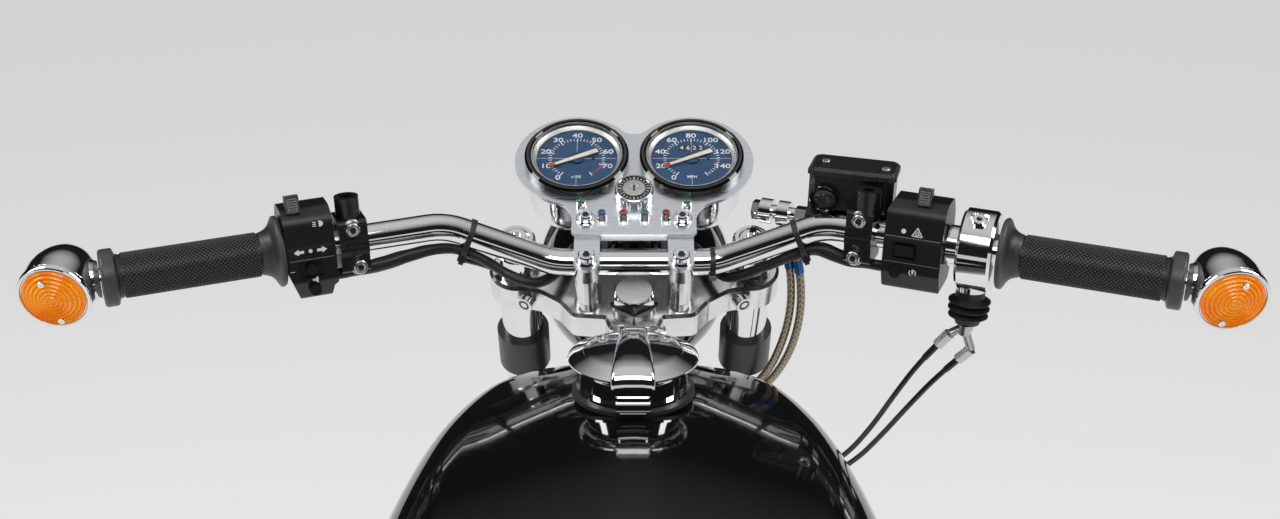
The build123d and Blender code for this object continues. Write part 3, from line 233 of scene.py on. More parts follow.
def wovenSteel():
    # crossing strands from two slanted waves round the hose
    material, tree, shader = startMaterial("wovenSteel", (0.52, 0.46, 0.34), 0.75)
    coords = addNode(tree, "UVMap")
    peak = addNode(tree, "Math")
    peak.operation = "MAXIMUM"
    for index, slant in enumerate((0.72, -0.72)):
        mapping = addNode(tree, "Mapping", {"Rotation": (0, 0, slant)}, {"Vector": coords.outputs["UV"]})
        wave = addNode(tree, "TexWave", {"Scale": 2.2, "Distortion": 0.3},
                       {"Vector": mapping.outputs["Vector"]})
        tree.links.new(wave.outputs["Fac"], peak.inputs[index])
    tint(tree, peak.outputs["Value"], (0.13, 0.105, 0.06), (0.36, 0.31, 0.21), shader.inputs["Base Color"])
    addBump(tree, shader, peak.outputs["Value"], 0.5, 0.0004)
    shader.inputs["Coat Weight"].default_value = 0.4
    return material


# Finishes by the record's slots: name, tones, metallic, roughness range, grain, bump, other sockets
finishes = {
    "chrome": makeFinish("chromePlate", [(0.80, 0.81, 0.82)], 1.0, (0.03, 0.09), (30, 4),
                         (0.03, 0.002, 9, 1)),
    "polished_alloy": makeFinish("polishedAlloy", [(0.70, 0.70, 0.70), (0.86, 0.86, 0.85)], 1.0, (0.13, 0.3),
                                 (60, 5), (0.08, 0.0003, 900, 2)),
    "brushed_alloy": makeFinish("brushedAlloy", [(0.70, 0.73, 0.77), (0.80, 0.83, 0.86)], 1.0, (0.24, 0.38),
                                (900, 3, (0.05, 1, 1)), (0.05, 0.0001)),
    "black_paint": makeFinish("glossBlackEnamel", [(0.004, 0.004, 0.005)], 0.0, (0.05, 0.09), (160, 2),
                              (0.02, 0.0004), {"Coat Weight": 0.6, "Coat Roughness": 0.02}),
    "frame_paint": satinBlack("satinFrameBlack", (0.012, 0.012, 0.013)),
    "bracket_paint": satinBlack("satinGreyBracket", (0.022, 0.022, 0.024)),
    "black_plastic": makeFinish("mouldedPlastic", [(0.006, 0.006, 0.0065)], 0.0, (0.26, 0.38), (1400, 2),
                                (0.08, 0.0002)),
    "rubber": makeFinish("gripRubber", [(0.008, 0.008, 0.009), (0.015, 0.015, 0.016)], 0.0, (0.38, 0.55),
                         (700, 4), (0.1, 0.0002), {"Sheen Weight": 0.1}),
    "sleeve": makeFinish("softSleeve", [(0.013, 0.013, 0.014)], 0.0, (0.3, 0.55), (190, 3), (0.35, 0.0008)),
    "braid": makeFinish("steelBraid", [(0.45, 0.42, 0.36)], 0.7, (0.25, 0.45), (900, 2), (0.3, 0.0004)),
    "dial_face": makeFinish("dialBlue", [(0.012, 0.054, 0.138), (0.016, 0.066, 0.160)], 0.0, (0.5, 0.5),
                            (300, 3), (0.04, 0.0002)),
    "clear_glass": clearGlass("clearGlass", 0.02),
    "lamp_glass": clearGlass("lampGlass", 0.04),
    # the amber lens has a faint painted glow: its emission stands in for light passing through it from the
    # reflector behind
    "amber": makeFinish("amberLensPaintedGlow", [(0.95, 0.24, 0.006), (1.0, 0.46, 0.03)], 0.0, (0.04, 0.12), (60, 2),
                        None, {"Transmission Weight": 0.2, "Emission Color": (1.0, 0.36, 0.015, 1),
                               "Emission Strength": 0.14, "IOR": 1.45, "Coat Weight": 0.5}),
    "steel": makeFinish("machinedSteel", [(0.55, 0.55, 0.56)], 1.0, (0.2, 0.4), (500, 3, (1, 1, 0.1)),
                        (0.1, 0.0002)),
}
# Frame pieces with a finish of their own
ownFinishes = {
    "master_cylinder": satinBlack("castReservoirBlack", (0.007, 0.006, 0.008), (0.2, 0.32)),
    "clutch_perch": satinBlack("castPerchBlack", (0.007, 0.007, 0.008), (0.22, 0.34)),
    "reservoir_lid": pebbledLid(),
    "throttle_boot": satinBlack("bellowsRubber", (0.010, 0.010, 0.011), (0.4, 0.55)),
}
print("materials ready")


def printed(name, first, second, roughness=0.45, scale=400, metallic=0.0, sockets=None):
    return makeFinish(name, [first, second], metallic, (roughness * 0.85, roughness * 1.15), (scale, 3),
                      (0.04, 0.0002), sockets)


def tinted(name, first, second):
    # coloured clear plastic
    return printed(name, first, second, 0.08, 90, 0.0, {"Coat Weight": 0.6, "Transmission Weight": 0.15})


# Inks and small finishes: name, darker and lighter tone, roughness, scale of the grain, metallic
inks = {
    "white": printed("whitePrint", (0.72, 0.73, 0.72), (0.82, 0.83, 0.82)),
    "red": printed("redPrint", (0.55, 0.03, 0.02), (0.66, 0.05, 0.03)),
    "cream": printed("creamPaint", (0.70, 0.64, 0.50), (0.80, 0.74, 0.60)),
    "blue": printed("hubBlue", (0.010, 0.035, 0.085), (0.016, 0.048, 0.11)),
    "hoseBlue": printed("hoseBlueCollar", (0.02, 0.10, 0.32), (0.03, 0.15, 0.42), 0.25, 300, 0.6),
    "sheath": printed("glossSheath", (0.008, 0.008, 0.009), (0.014, 0.014, 0.015), 0.22, 500),
    "tab": printed("greyTab", (0.10, 0.10, 0.11), (0.16, 0.16, 0.17), 0.3, 500, 0.7),
    "seam": printed("seamLine", (0.16, 0.16, 0.17), (0.22, 0.22, 0.23), 0.4),
    "smoke": printed("smokedGlass", (0.020, 0.020, 0.024), (0.035, 0.034, 0.038), 0.06, 120),
    "strap": printed("strapNylon", (0.012, 0.012, 0.013), (0.020, 0.020, 0.021), 0.35),
    # dark: the counter windows and the ring in the lock's groove, and painted shade on the bolt sockets'
    # floors and over the key slot
    "dark": printed("darkFaceAndPaintedShade", (0.006, 0.006, 0.007), (0.012, 0.012, 0.013)),
    "silver": printed("silverKey", (0.62, 0.63, 0.65), (0.75, 0.76, 0.78), 0.25, 500, 1.0),
    "satin": printed("satinBezel", (0.50, 0.50, 0.48), (0.60, 0.60, 0.58), 0.42, 600, 1.0),
    "disc": printed("satinDisc", (0.78, 0.78, 0.77), (0.86, 0.86, 0.85), 0.4, 300, 0.35),
    "greenLens": tinted("greenLens", (0.01, 0.10, 0.04), (0.02, 0.16, 0.06)),
    "blueLens": tinted("blueLens", (0.01, 0.04, 0.20), (0.02, 0.07, 0.30)),
    "redLens": tinted("redLens", (0.22, 0.01, 0.01), (0.34, 0.02, 0.02)),
    "woven": wovenSteel(),
    # knurl: rubber with a painted highlight on the diamonds' tops and painted shade in the grooves
    "knurl": knurlPaintedHighlightAndShade(),
}
print("inks ready")


def dressCadNodes():
    # every carried-over node takes the finish that its record names
    for row in frame["record"]["subparts"]:
        for place in cadNodes[row["node"]].material_slots:
            place.material = ownFinishes.get(row["node"]) or finishes[row["material_slot"]]


dressCadNodes()
print("frame pieces painted")


# Making: every piece is a mesh built from rings of points

def roundedOutline(corners, steps=5):
    # corners are x, y and the radius that each is rounded by
    points = []
    for index, (x, y, radius) in enumerate(corners):
        here = Vector((x, y))
        before = Vector(corners[index - 1][:2]) - here
        after = Vector(corners[(index + 1) % len(corners)][:2]) - here
        reach = radius / max(math.tan(before.angle(after) / 2), 0.05)
        reach = min(reach, before.length * 0.49, after.length * 0.49)
        first = here + before.normalized() * reach
        last = here + after.normalized() * reach
        for step in range(steps + 1):
            t = step / steps
            points.append(first * (1 - t) ** 2 + here * 2 * t * (1 - t) + last * t ** 2)
    return points


def roundedBox(halfWide, low, high, radius, topRadius=None, steps=3):
    top = radius if topRadius is None else topRadius
    return roundedOutline(((-halfWide, low, radius), (halfWide, low, radius), (halfWide, high, top),
                           (-halfWide, high, top)), steps)


def bar2d(x, y, width, height, angle=0.0):
    # a straight line of some width, turned round the outline's origin
    turn = math.radians(angle)
    return [(x + px * math.cos(turn) - py * math.sin(turn), y + px * math.sin(turn) + py * math.cos(turn))
            for px, py in ((-width / 2, -height / 2), (width / 2, -height / 2), (width / 2, height / 2),
                           (-width / 2, height / 2))]


def loft(bm, rows, around=False):
    # skins rings of points, then closes both ends or joins the last ring to the first
    rings = [[bm.verts.new(point) for point in row] for row in rows]
    pairs = list(zip(rings, rings[1:]))
    if around:
        pairs.append((rings[-1], rings[0]))
    else:
        bm.faces.new(rings[0][::-1])
        bm.faces.new(rings[-1])
    for lower, upper in pairs:
        for step in range(len(lower)):
            after = (step + 1) % len(lower)
            bm.faces.new((lower[step], lower[after], upper[after], upper[step]))


def ringPoints(matrix, segments, radius, height, flats=0):
    points = []
    for step in range(segments):
        turn = 2 * math.pi * step / segments
        reach = max(radius, 0.03) * mm
        if flats:
            half = math.pi / flats
            reach *= math.cos(half) / math.cos(turn % (2 * half) - half)
        points.append(matrix @ Vector((reach * math.cos(turn), reach * math.sin(turn), height * mm)))
    return points


def lathe(bm, matrix, profile, segments=48, around=False):
    # rows are radius and height, and a third number gives a row that many flats
    loft(bm, [ringPoints(matrix, segments, *row) for row in profile], around)


def slab(bm, matrix, outline, low, high, edge=0.0):
    # a flat piece from an outline, its top edge taken off by a little
    middle = sum((Vector(point) for point in outline), Vector((0, 0))) / len(outline)
    rows = [(1, low), (1, high - edge)]
    if edge:
        size = max((Vector(point) - middle).length for point in outline)
        rows.append((1 - edge / size, high))
    loft(bm, [[matrix @ (((middle + (Vector(point) - middle) * share).to_3d() + Vector((0, 0, height))) * mm)
               for point in outline] for share, height in rows])


def socketBolt(bm, matrix, radius, height, socket, deep=3.0, floors=None):
    edge = radius * 0.12
    if floors is not None:      # painted shade: a dark disc at the socket's floor stands for the shade inside it
        lathe(floors, matrix, ((socket * 0.9, height - deep), (socket * 0.96, height - 0.8, 6),
                               (0, height - 0.9)), 36)
    lathe(bm, matrix, ((radius * 0.9, -1), (radius, 0), (radius, height - edge), (radius - edge, height),
                       (socket * 1.15, height), (socket, height - 0.3, 6),
                       (socket * 0.98, height - deep, 6)), 36)


def curveMesh(curve):
    # the mesh that a curve makes, with the curve cleared away
    holder = bpy.data.objects.new("curveHolder", curve)
    mesh = bpy.data.meshes.new_from_object(holder)
    bpy.data.objects.remove(holder)
    bpy.data.curves.remove(curve)
    return mesh


def addText(bm, matrix, text, size, thick=0.06):
    curve = bpy.data.curves.new("lettering", "FONT")
    curve.body = text
    curve.size = size * mm
    curve.align_x = "CENTER"
    curve.align_y = "CENTER"
    curve.resolution_u = 4
    curve.extrude = thick * mm
    curve.offset = 0.012 * size * mm
    mesh = curveMesh(curve)
    mesh.transform(matrix)
    bm.from_mesh(mesh)
    bpy.data.meshes.remove(mesh)


def addObject(name, data):
    added = bpy.data.objects.new(name, data)
    scene.collection.objects.link(added)
    return added


def meshOf(name, bm):
    bmesh.ops.recalc_face_normals(bm, faces=bm.faces)
    mesh = bpy.data.meshes.new(name)
    bm.to_mesh(mesh)
    bm.free()
    return mesh


def newPiece(name, bm, slot, ink=None, angle=35, stands=(), body="steering"):
    # edges sharper than the angle stay sharp, and the piece stands for the named frame nodes
    bmesh.ops.remove_doubles(bm, verts=bm.verts, dist=1e-7)
    piece = addObject(name, meshOf(name, bm))
    piece.data.materials.append(inks[ink] if ink else finishes[slot])
    piece.data.shade_smooth()
    piece.data.set_sharp_from_angle(angle=math.radians(angle))
    if body:
        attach(piece, body)
    if stands:
        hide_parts(*stands)
    return piece


# Fuel tank: one smooth shell, cut out for the frame tube and the filler bore
tank = {
    # distance ahead, half width, top, bottom and lower corner
    "sections": ((534, 96, 80, -30, 24), (490, 135, 90, -55, 34), (400, 168, 95.5, -85, 50),
                 (260, 184, 89, -90, 54), (120, 160, 72, -70, 40), (40, 112, 58, -40, 22)),
    "rows": 46,
    "endRound": 7.0,
    "tunnel": (37, 46),         # half width and roof
    "filler": (440, 28),        # distance ahead and radius
}


def alongTank(share):
    # a section anywhere along the tank, on a smooth line through the given ones
    last = len(tank["sections"]) - 1
    index = min(int(share * last), last - 1)
    t = share * last - index
    rows = [tank["sections"][max(0, min(last, index + step))] for step in (-1, 0, 1, 2)]
    return [b + 0.5 * t * (c - a + t * (2 * a - 5 * b + 4 * c - d + t * (3 * (b - c) + d - a)))
            for a, b, c, d in zip(*rows)]


def tankRing(y, half, top, bottom, corner, inset):
    tall = top - bottom
    shoulder, hip = top - 0.12 * half, bottom + 0.45 * tall
    corners = ((-half * 0.88, bottom, 14), (half * 0.88, bottom, 14), (half, hip, 0.35 * tall),
               (half * 0.9, shoulder, corner), (0, top, half), (-half * 0.9, shoulder, corner),
               (-half, hip, 0.35 * tall))
    middle = Vector((0, (top + bottom) / 2))
    points = []
    for point in roundedOutline(corners, 9):
        away = point - middle
        away *= 1 - inset / away.length
        points.append(Vector((middle.x + away.x, y, middle.y + away.y)) * mm)
    return points


def tankEnd(share, way, turns):
    # rounds an end's edge
    y, *shape = alongTank(share)
    edge = tank["endRound"]
    return [tankRing(y + way * edge * (1 - math.sin(math.radians(turn))), *shape,
                     edge * (1 - math.cos(math.radians(turn)))) for turn in turns]


def makeTank():
    bm = bmesh.new()
    turns, rows = (90, 70, 50, 30, 12), tank["rows"]
    middle = [tankRing(*alongTank(row / rows), 0) for row in range(1, rows)]
    loft(bm, tankEnd(0, -1, turns) + middle + tankEnd(1, 1, turns[::-1]))
    shell = newPiece("tankShell", bm, "black_paint", angle=50, stands=("fuel_tank",), body="frame")
    cutter = bmesh.new()
    half, roof = tank["tunnel"]
    outline = roundedBox(half, -150, roof, 0.1, 6, 4)
    loft(cutter, [[Vector((point.x, y, point.y)) * mm for point in outline] for y in (20, 560)])
    ahead, radius = tank["filler"]
    lathe(cutter, Matrix.Translation((0, ahead * mm, 0)), ((radius, 40), (radius, 130)))
    knife = addObject("tankCutter", meshOf("tankCutter", cutter))
    cut = shell.modifiers.new("cut", "BOOLEAN")
    cut.operation = "DIFFERENCE"
    cut.solver = "EXACT"
    cut.use_self = True
    cut.object = knife
    solved = bpy.data.meshes.new_from_object(shell.evaluated_get(bpy.context.evaluated_depsgraph_get()))
    shell.modifiers.clear()
    shell.data = solved
    solved.name = "tankShell"
    solved.set_sharp_from_angle(angle=math.radians(40))
    bpy.data.meshes.remove(knife.data)      # takes its object with it


makeTank()
print("tank ready")

# Filler lid: sloping outer ring, flatter middle, and a rib that ends over the latch
filler = {
    "centre": (440, 114.8),     # ahead, and the lid's underside
    "profile": ((38, 0.3), (41.4, 0.3), (41.6, 0.8), (41.8, 3.2), (42.4, 3.8), (46.4, 4.2), (47.6, 4.8),
                (48, 5.8), (47.7, 6.8), (46.6, 7.5), (43, 8.9), (39.6, 10.6), (37.4, 11.7), (36.6, 12.1),
                (36.2, 11.9), (35.8, 12.1), (34.8, 12.6), (30, 13.4), (22, 14.6), (14, 15.5), (6, 16.1),
                (0, 16.2)),
    # distance to the rear of the centre, half width, top and lower edge
    "rib": ((-40, 9.4, 10.6, 7), (-38.5, 9.9, 13.6, 7), (-35, 10.2, 15.6, 8), (-25, 10.8, 17, 8),
            (-10, 11.8, 18.2, 8), (5, 12.8, 18.7, 8), (20, 13.8, 18.4, 7), (32, 14.6, 17.6, 6),
            (40, 15.2, 16.4, 3), (44.5, 15.4, 14.6, 0), (47.5, 15.5, 12.2, -1.4), (49.6, 15.4, 9.4, -2),
            (50.6, 15.2, 6, -2), (50.8, 14.6, 2, -2)),
    "leaf": ((0, -5, 1), (9, -5, 3), (9, 4, 4), (-6, 4, 2), (-12, -1, 2)),
    "leafAt": (10, 493.5, 116.5),
    # height over the lid's underside, half width, and how far back
    "latch": ((-1.0, 12.2, 44), (-1.8, 12.2, 50.2), (-3.2, 12.2, 51.2), (-6.4, 12.0, 51.2),
              (-7.2, 11.4, 50.3), (-7.9, 11.4, 50.3), (-8.6, 12.0, 51.0), (-12, 11.4, 50.6),
              (-16.4, 10.4, 49.4), (-17.6, 9.8, 47.8), (-17.8, 9.6, 44)),
}


def makeFillerLid():
    y, z = filler["centre"]
    bm = bmesh.new()
    lathe(bm, Matrix.Translation((0, y * mm, z * mm)), filler["profile"], 96)
    rings = []
    for rear, half, top, low in filler["rib"]:
        side = min(3.0, (top - low) * 0.45)
        flank = ((half, low), (half, top - side), (half - 0.4, top - side * 0.5),
                 (half - 1.3, top - side * 0.18), (half - 2.6, top), (half * 0.4, top + 0.5))
        rings.append([Vector((x, y - rear, z + up)) * mm
                      for x, up in [(-x, up) for x, up in flank] + list(flank[::-1])])
    loft(bm, rings)
    for side in (-1, 1):        # hinge leaves at the front
        out, ahead, up = filler["leafAt"]
        base = facing(Vector((side * out, ahead, up)) * mm, (side, 0, 0), (0, 1, 0))
        slab(bm, base, roundedOutline(filler["leaf"], 3), -2.5, 2.5, 0.5)
    newPiece("fillerLidShell", bm, "chrome", None, 32, ("filler_lid",), "filler_cap")
    bm = bmesh.new()
    loft(bm, [[Vector((x, y - back, z + up)) * mm for x, back in (
        (-half, 40), (-half, rear - 1.2), (-half + 1.2, rear), (half - 1.2, rear), (half, rear - 1.2),
        (half, 40))] for up, half, rear in filler["latch"]])
    newPiece("fillerLatch", bm, "chrome", angle=25, body="frame")


makeFillerLid()

# Dials: silver bezels, printed ticks and numbers, counter windows, needles
gauges = {
    "tilt": math.radians(28.0),
    "origin": steering["reference"] + Vector((0, 0.069, 0.1083)),
    "centre": 48.5,
    "face": -6.5,
    "bezel": ((38.35, 0), (38.35, 2.4), (37.6, 2.4), (34.9, 0.5), (34.3, 0.35), (34.3, 0)),
    "glassEdge": ((38.45, 4.1), (38.45, 6.2), (37.9, 6.3), (37.7, 4.1)),
    "step": 36.6,               # degrees between numbers
    "numbers": {-1: ("0", "10", "20", "30", "40", "50", "60", "70"),
                1: ("0", "20", "40", "60", "80", "100", "120", "140")},
    "numberAt": 27.6,
    "numberSize": 7.4,
    # ticks: inner and outer end, width
    "longTick": (19.8, 24.2, 0.95),
    "shortTick": (21.2, 24.0, 0.6),
    "redTick": (21.2, 24.0, 0.9),
    "arc": (158, 1.5, 24),      # first angle, step and count of the red arc's ticks
    "arcTick": (32.4, 33.6, 1.0),
    "crossLines": ((90, -33.5, 33.5), (0, 8, 19), (0, -33, -20)),
    "words": {-1: "x100", 1: "MPH"},
    "counter": "4622",
    "needleAngle": -115.0,
    # start, end, and half width at each
    "needle": (-19, 20, 2.3, 1.3),
    "needleTip": (20, 25.5, 1.7, 1.1),
    "hub": ((6.4, 0), (6.6, 1.0), (6.0, 1.6), (0, 1.6)),
    "knob": (14, -0.6),
}


def gaugeAt(x=0.0, ahead=0.0, up=0.0):
    return tiltedAt(gauges["origin"], gauges["tilt"], x, ahead, up)


def ray(bm, base, angle, start, end, halfStart, halfEnd, low, high, edge=0.0):
    along = turn2d(angle, 1)
    across = Vector((along.y, -along.x))
    slab(bm, base, [along * start - across * halfStart, along * end - across * halfEnd,
                    along * end + across * halfEnd, along * start + across * halfStart], low, high, edge)


def tick(bm, base, angle, inner, outer, width, low=0.0, high=0.12):
    ray(bm, base, angle, inner, outer, width / 2, width / 2, low, high)


def makeDials():
    bezels, white, red, dark, needles, tips, hubs = (bmesh.new() for _ in range(7))
    for side, labels in gauges["numbers"].items():
        base = gaugeAt(side * gauges["centre"], 0, gauges["face"])
        lathe(bezels, base, gauges["bezel"], 96, True)
        lathe(bezels, base, gauges["glassEdge"], 96, True)
        angles = [(index - 4) * gauges["step"] for index in range(len(labels) + 1)]
        for angle in angles:
            tick(white, base, angle, *gauges["longTick"])
        for angle, label in zip(angles, labels):
            spot = turn2d(angle, gauges["numberAt"])
            addText(white, shifted(base, spot.x, spot.y, 0.08) @ Matrix.Diagonal((1.22, 1, 1, 1)), label,
                    gauges["numberSize"], 0.08)
            hot = side < 0 and label == labels[-1]
            for part in range(1, 5):
                tick(red if hot else white, base, angle + gauges["step"] * part / 5,
                     *gauges["redTick" if hot else "shortTick"])
        for angle, first, last in gauges["crossLines"]:
            tick(white, base, angle, first, last, 0.3, 0, 0.05)
        addText(white, shifted(base, 0, -22, 0.08), gauges["words"][side], 4.2)
        ray(needles, base, gauges["needleAngle"], *gauges["needle"], 1.7, 2.3, 0.15)
        ray(tips, base, gauges["needleAngle"], *gauges["needleTip"], 1.7, 2.3, 0.15)
        lathe(hubs, base, gauges["hub"], 40)
        lathe(dark, shifted(base, *gauges["knob"]), ((1.3, 0), (1.3, 0.5), (0.9, 0.7)), 20)
    base = gaugeAt(-gauges["centre"], 0, gauges["face"])
    first, step, count = gauges["arc"]
    for part in range(count):
        tick(red, base, first + part * step, *gauges["arcTick"])
    base = gaugeAt(gauges["centre"], 0, gauges["face"])
    for window, digit in enumerate(gauges["counter"]):
        place = shifted(base, (window - 1.5) * 5.4, 12.5)
        slab(dark, place, roundedBox(2.4, -3.3, 3.3, 0.4, steps=2), 0, 0.12)
        addText(white, shifted(place, 0, 0, 0.2), digit, 6.4)
    newPiece("dialBezels", bezels, "polished_alloy", "satin", 30)
    newPiece("dialPrint", white, "dial_face", "white")
    newPiece("dialRedPrint", red, "dial_face", "red")
    newPiece("dialWindows", dark, "dial_face", "dark")
    newPiece("dialNeedles", needles, "dial_face", "cream")
    newPiece("dialNeedleTips", tips, "dial_face", "red")
    newPiece("dialHubs", hubs, "dial_face", "blue")


makeDials()

# Instrument plate: coloured lamp domes and the two socket screws
plate = {
    "top": -8,
    "lamps": (("greenLens", -43.5, -54), ("blueLens", -26.2, -67.5), ("redLens", -8.7, -67.5),
              ("greenLens", 8.7, -67.5), ("redLens", 26.2, -67.5), ("greenLens", 43.5, -54)),
    "dome": ((3.3, -0.5), (3.3, 0.5), (3.0, 1.1), (2.3, 1.7), (1.3, 2.1), (0, 2.25)),
    "screws": (-39.5, 39.5),
    "screwsAhead": -69,
    "washer": ((8, 0), (8, 0.8), (7.4, 1.2), (4, 1.2)),
}


def makePlateFittings():
    for index, (colour, x, ahead) in enumerate(plate["lamps"]):
        bm = bmesh.new()
        lathe(bm, gaugeAt(x, ahead, plate["top"] + 6), plate["dome"], 28)
        newPiece(f"lampDome{index + 1}", bm, "amber", colour, 60)
    bm, floors = bmesh.new(), bmesh.new()
    for x in plate["screws"]:
        base = gaugeAt(x, plate["screwsAhead"], plate["top"])
        lathe(bm, base, plate["washer"], 40)
        socketBolt(bm, shifted(base, 0, 0, 1), 5.6, 5.4, 2.9, floors=floors)
    newPiece("plateFittings", bm, "chrome", angle=32)
    # painted shade: dark discs in the screws' sockets
    newPiece("plateSocketShade", floors, "steel", "dark")


makePlateFittings()

# Ignition lock: collar, dark recess with plain index marks, and the key disc
lock = {
    "ahead": -44,
    "collar": ((15.6, 0), (16, 0.6), (16, 9.2), (15.6, 10.3), (14.8, 10.9), (14.0, 11), (13.7, 10.7),
               (13.7, 10.2), (9.6, 10.2), (9.6, 10.7), (9.3, 11.1), (8.4, 11.3), (4.6, 11.3), (4.3, 11.0),
               (4.3, 10.2)),
    "recess": ((13.6, 10.15), (13.6, 10.35), (9.7, 10.35), (9.7, 10.15)),
    "disc": ((9.2, 11.1), (9.0, 11.5), (8.2, 11.7), (3.3, 11.7), (2.9, 11.4), (2.9, 11.0), (2.2, 11.0),
             (2.0, 11.5), (0, 11.5)),
    "slot": (1.2, 7.8),
    "marks": 24,
    "mark": (10.6, 12.6, 0.9),
    "longMark": (10.2, 13.1, 1.3),
}


def makeIgnitionLock():
    base = gaugeAt(0, lock["ahead"], plate["top"])
    body, marks, dark, disc = (bmesh.new() for _ in range(4))
    lathe(body, base, lock["collar"], 72)
    lathe(dark, base, lock["recess"], 72, True)
    # painted shade: a dark bar over the key disc stands for the shade in the key slot
    slab(dark, base, bar2d(0, 0, *lock["slot"]), 11.2, 11.8)
    for part in range(lock["marks"]):
        tick(marks, base, part * 360 / lock["marks"], *lock["mark" if part % 6 else "longMark"], 10.3, 10.6)
    lathe(disc, base, lock["disc"])
    newPiece("ignitionLockBody", body, "chrome", None, 30, ("ignition_lock",))
    newPiece("ignitionKeyDisc", disc, "chrome", "satin", 30)
    newPiece("ignitionLockMarks", marks, "chrome", "silver")
    newPiece("ignitionLockRecess", dark, "chrome", "dark")


makeIgnitionLock()
print("instruments ready")

# Grips: turned rubber with a flange at each end and a diamond knurl between
grips = {
    "starts": {-1: 273.5, 1: 284.0},
    "lengths": {-1: 125.5, 1: 128.0},
    "names": {-1: "grip_left", 1: "throttle_grip"},
    "flange": ((0, 25.6), (0.4, 26.8), (1.6, 27.8), (3, 28), (4.3, 27.4), (5.4, 25.4), (6.6, 22.8),
               (8.2, 20.4), (10.2, 18.6), (12.6, 17.4), (15, 16.7)),
    # from the outer end back
    "cuff": ((13, 16.7), (11.6, 17), (10.9, 18.4), (10.3, 20.8), (9.4, 21.9), (8.6, 22), (2, 22), (1, 21.4),
             (0.3, 20)),
    "bore": 11.06,
    "core": 16.3,               # radius of the plain rubber under the knurl
    "knurlEnds": (16.4, 14.4),  # from the inner and the outer end
    "floor": 16.0,
    "peak": 17.4,
    "flat": (0.22, 0.44),       # half width and half height of a diamond's top, in steps
    "around": 34,
    "pitch": 3.2,
}


def makeGrip(side):
    bm = bmesh.new()
    length = grips["lengths"][side]
    leg = steering["end"] - steering["elbow"]
    share = leg.x / leg.length
    base = barAt(side, grips["starts"][side])

    def ring(out, radius, turn=0.0, count=64):
        steps = [2 * math.pi * (step + turn) / count for step in range(count)]
        return [base @ (Vector((radius * math.cos(step), radius * math.sin(step), side * out / share)) * mm)
                for step in steps]

    start, back = grips["knurlEnds"]
    profile = list(grips["flange"]) + [(start - 1, grips["core"]), (length - back + 1, grips["core"])]
    profile += [(length - along, radius) for along, radius in grips["cuff"]]
    profile += [(length, grips["bore"]), (0, grips["bore"])]
    loft(bm, [ring(out, radius) for out, radius in profile], True)
    # the knurl: flat-topped diamonds on rows of points set half a step apart
    count = grips["around"]
    run = length - back - start
    rows = 2 * round(run / share / grips["pitch"])
    lift = run / rows
    low = [[bm.verts.new(point) for point in ring(start + row * lift, grips["floor"], 0.5 * (row % 2), count)]
           for row in range(rows + 1)]
    wide, tall = grips["flat"]
    for row in range(1, rows):
        odd = row % 2
        tips = [ring(start + (row + along) * lift, grips["peak"], 0.5 - 0.5 * odd + around, count)
                for along, around in ((0, -wide), (tall, 0), (0, wide), (-tall, 0))]
        for step in range(count):
            here = (step - odd) % count
            corners = (low[row][here], low[row + 1][step], low[row][(here + 1) % count], low[row - 1][step])
            quad = [bm.verts.new(tip[step]) for tip in tips]
            bm.faces.new(quad)
            for index in range(4):
                after = (index + 1) % 4
                bm.faces.new((corners[index], corners[after], quad[after], quad[index]))
    for row, step in ((0, 1), (rows, -1)):      # close the knurl's two ends
        edge = [bm.verts.new(point) for point in ring(start + row * lift - step * 0.6, grips["core"] - 0.1, 0,
                                                      count)]
        for spot in range(count):
            after = (spot + 1) % count
            bm.faces.new((edge[spot], edge[after], low[row][after], low[row][spot]))
            bm.faces.new((low[row][spot], low[row][after], low[row + step][spot]))
    newPiece(f"{sideNames[side]}GripRubber", bm, "rubber", "knurl", 28, (grips["names"][side],))


for side in (-1, 1):
    makeGrip(side)
print("grips ready")

# Fittings in plain metal: bolts on the clamps and tabs, and the disc on the stem nut
fittings = {
    # out along the bar, and up
    "clampBolts": {-1: ((224, 15), (221, -16)), 1: ((183, 15), (181, -16))},
    "clampFace": 13,            # behind the bar
    "clampWasher": ((7.4, 0), (7.4, 4.2), (6.9, 4.7), (5.6, 4.7)),
    "tabBolt": (38, -112, -11),
    "tabWasher": ((8.2, 0), (8.2, 1.0), (7.8, 1.4), (6.9, 1.4)),
    "discHeight": 15,
    "disc": ((14.5, -0.3), (14.9, 0), (14.9, 0.5), (14.4, 0.9), (13.7, 1.0), (13.4, 0.8), (0, 0.8)),
}


def makeFittings():
    bolts, heads, floors, disc = (bmesh.new() for _ in range(4))
    for side, spots in fittings["clampBolts"].items():
        for out, up in spots:
            base = riderAt(side, out, up, fittings["clampFace"])
            lathe(bolts, base, fittings["clampWasher"], 36)
            socketBolt(bolts, shifted(base, 0, 0, 4.5), 5.5, 4.6, 2.8, floors=floors)
    out, ahead, up = fittings["tabBolt"]
    for side in (-1, 1):
        base = gaugeAt(side * out, ahead, up)
        lathe(heads, base, fittings["tabWasher"], 40)
        socketBolt(heads, shifted(base, 0, 0, 1.2), 6.75, 7.4, 3.5, 4.5, floors)
    lathe(disc, yokeAt(0, 0, fittings["discHeight"]), fittings["disc"], 64)
    newPiece("clampBolts", bolts, "steel", "silver", 30)
    newPiece("bracketBolts", heads, "chrome", angle=30)
    # painted shade: dark discs in the bolts' sockets
    newPiece("boltSocketShade", floors, "steel", "dark")
    newPiece("stemNutDisc", disc, "chrome", "disc", 30)


makeFittings()

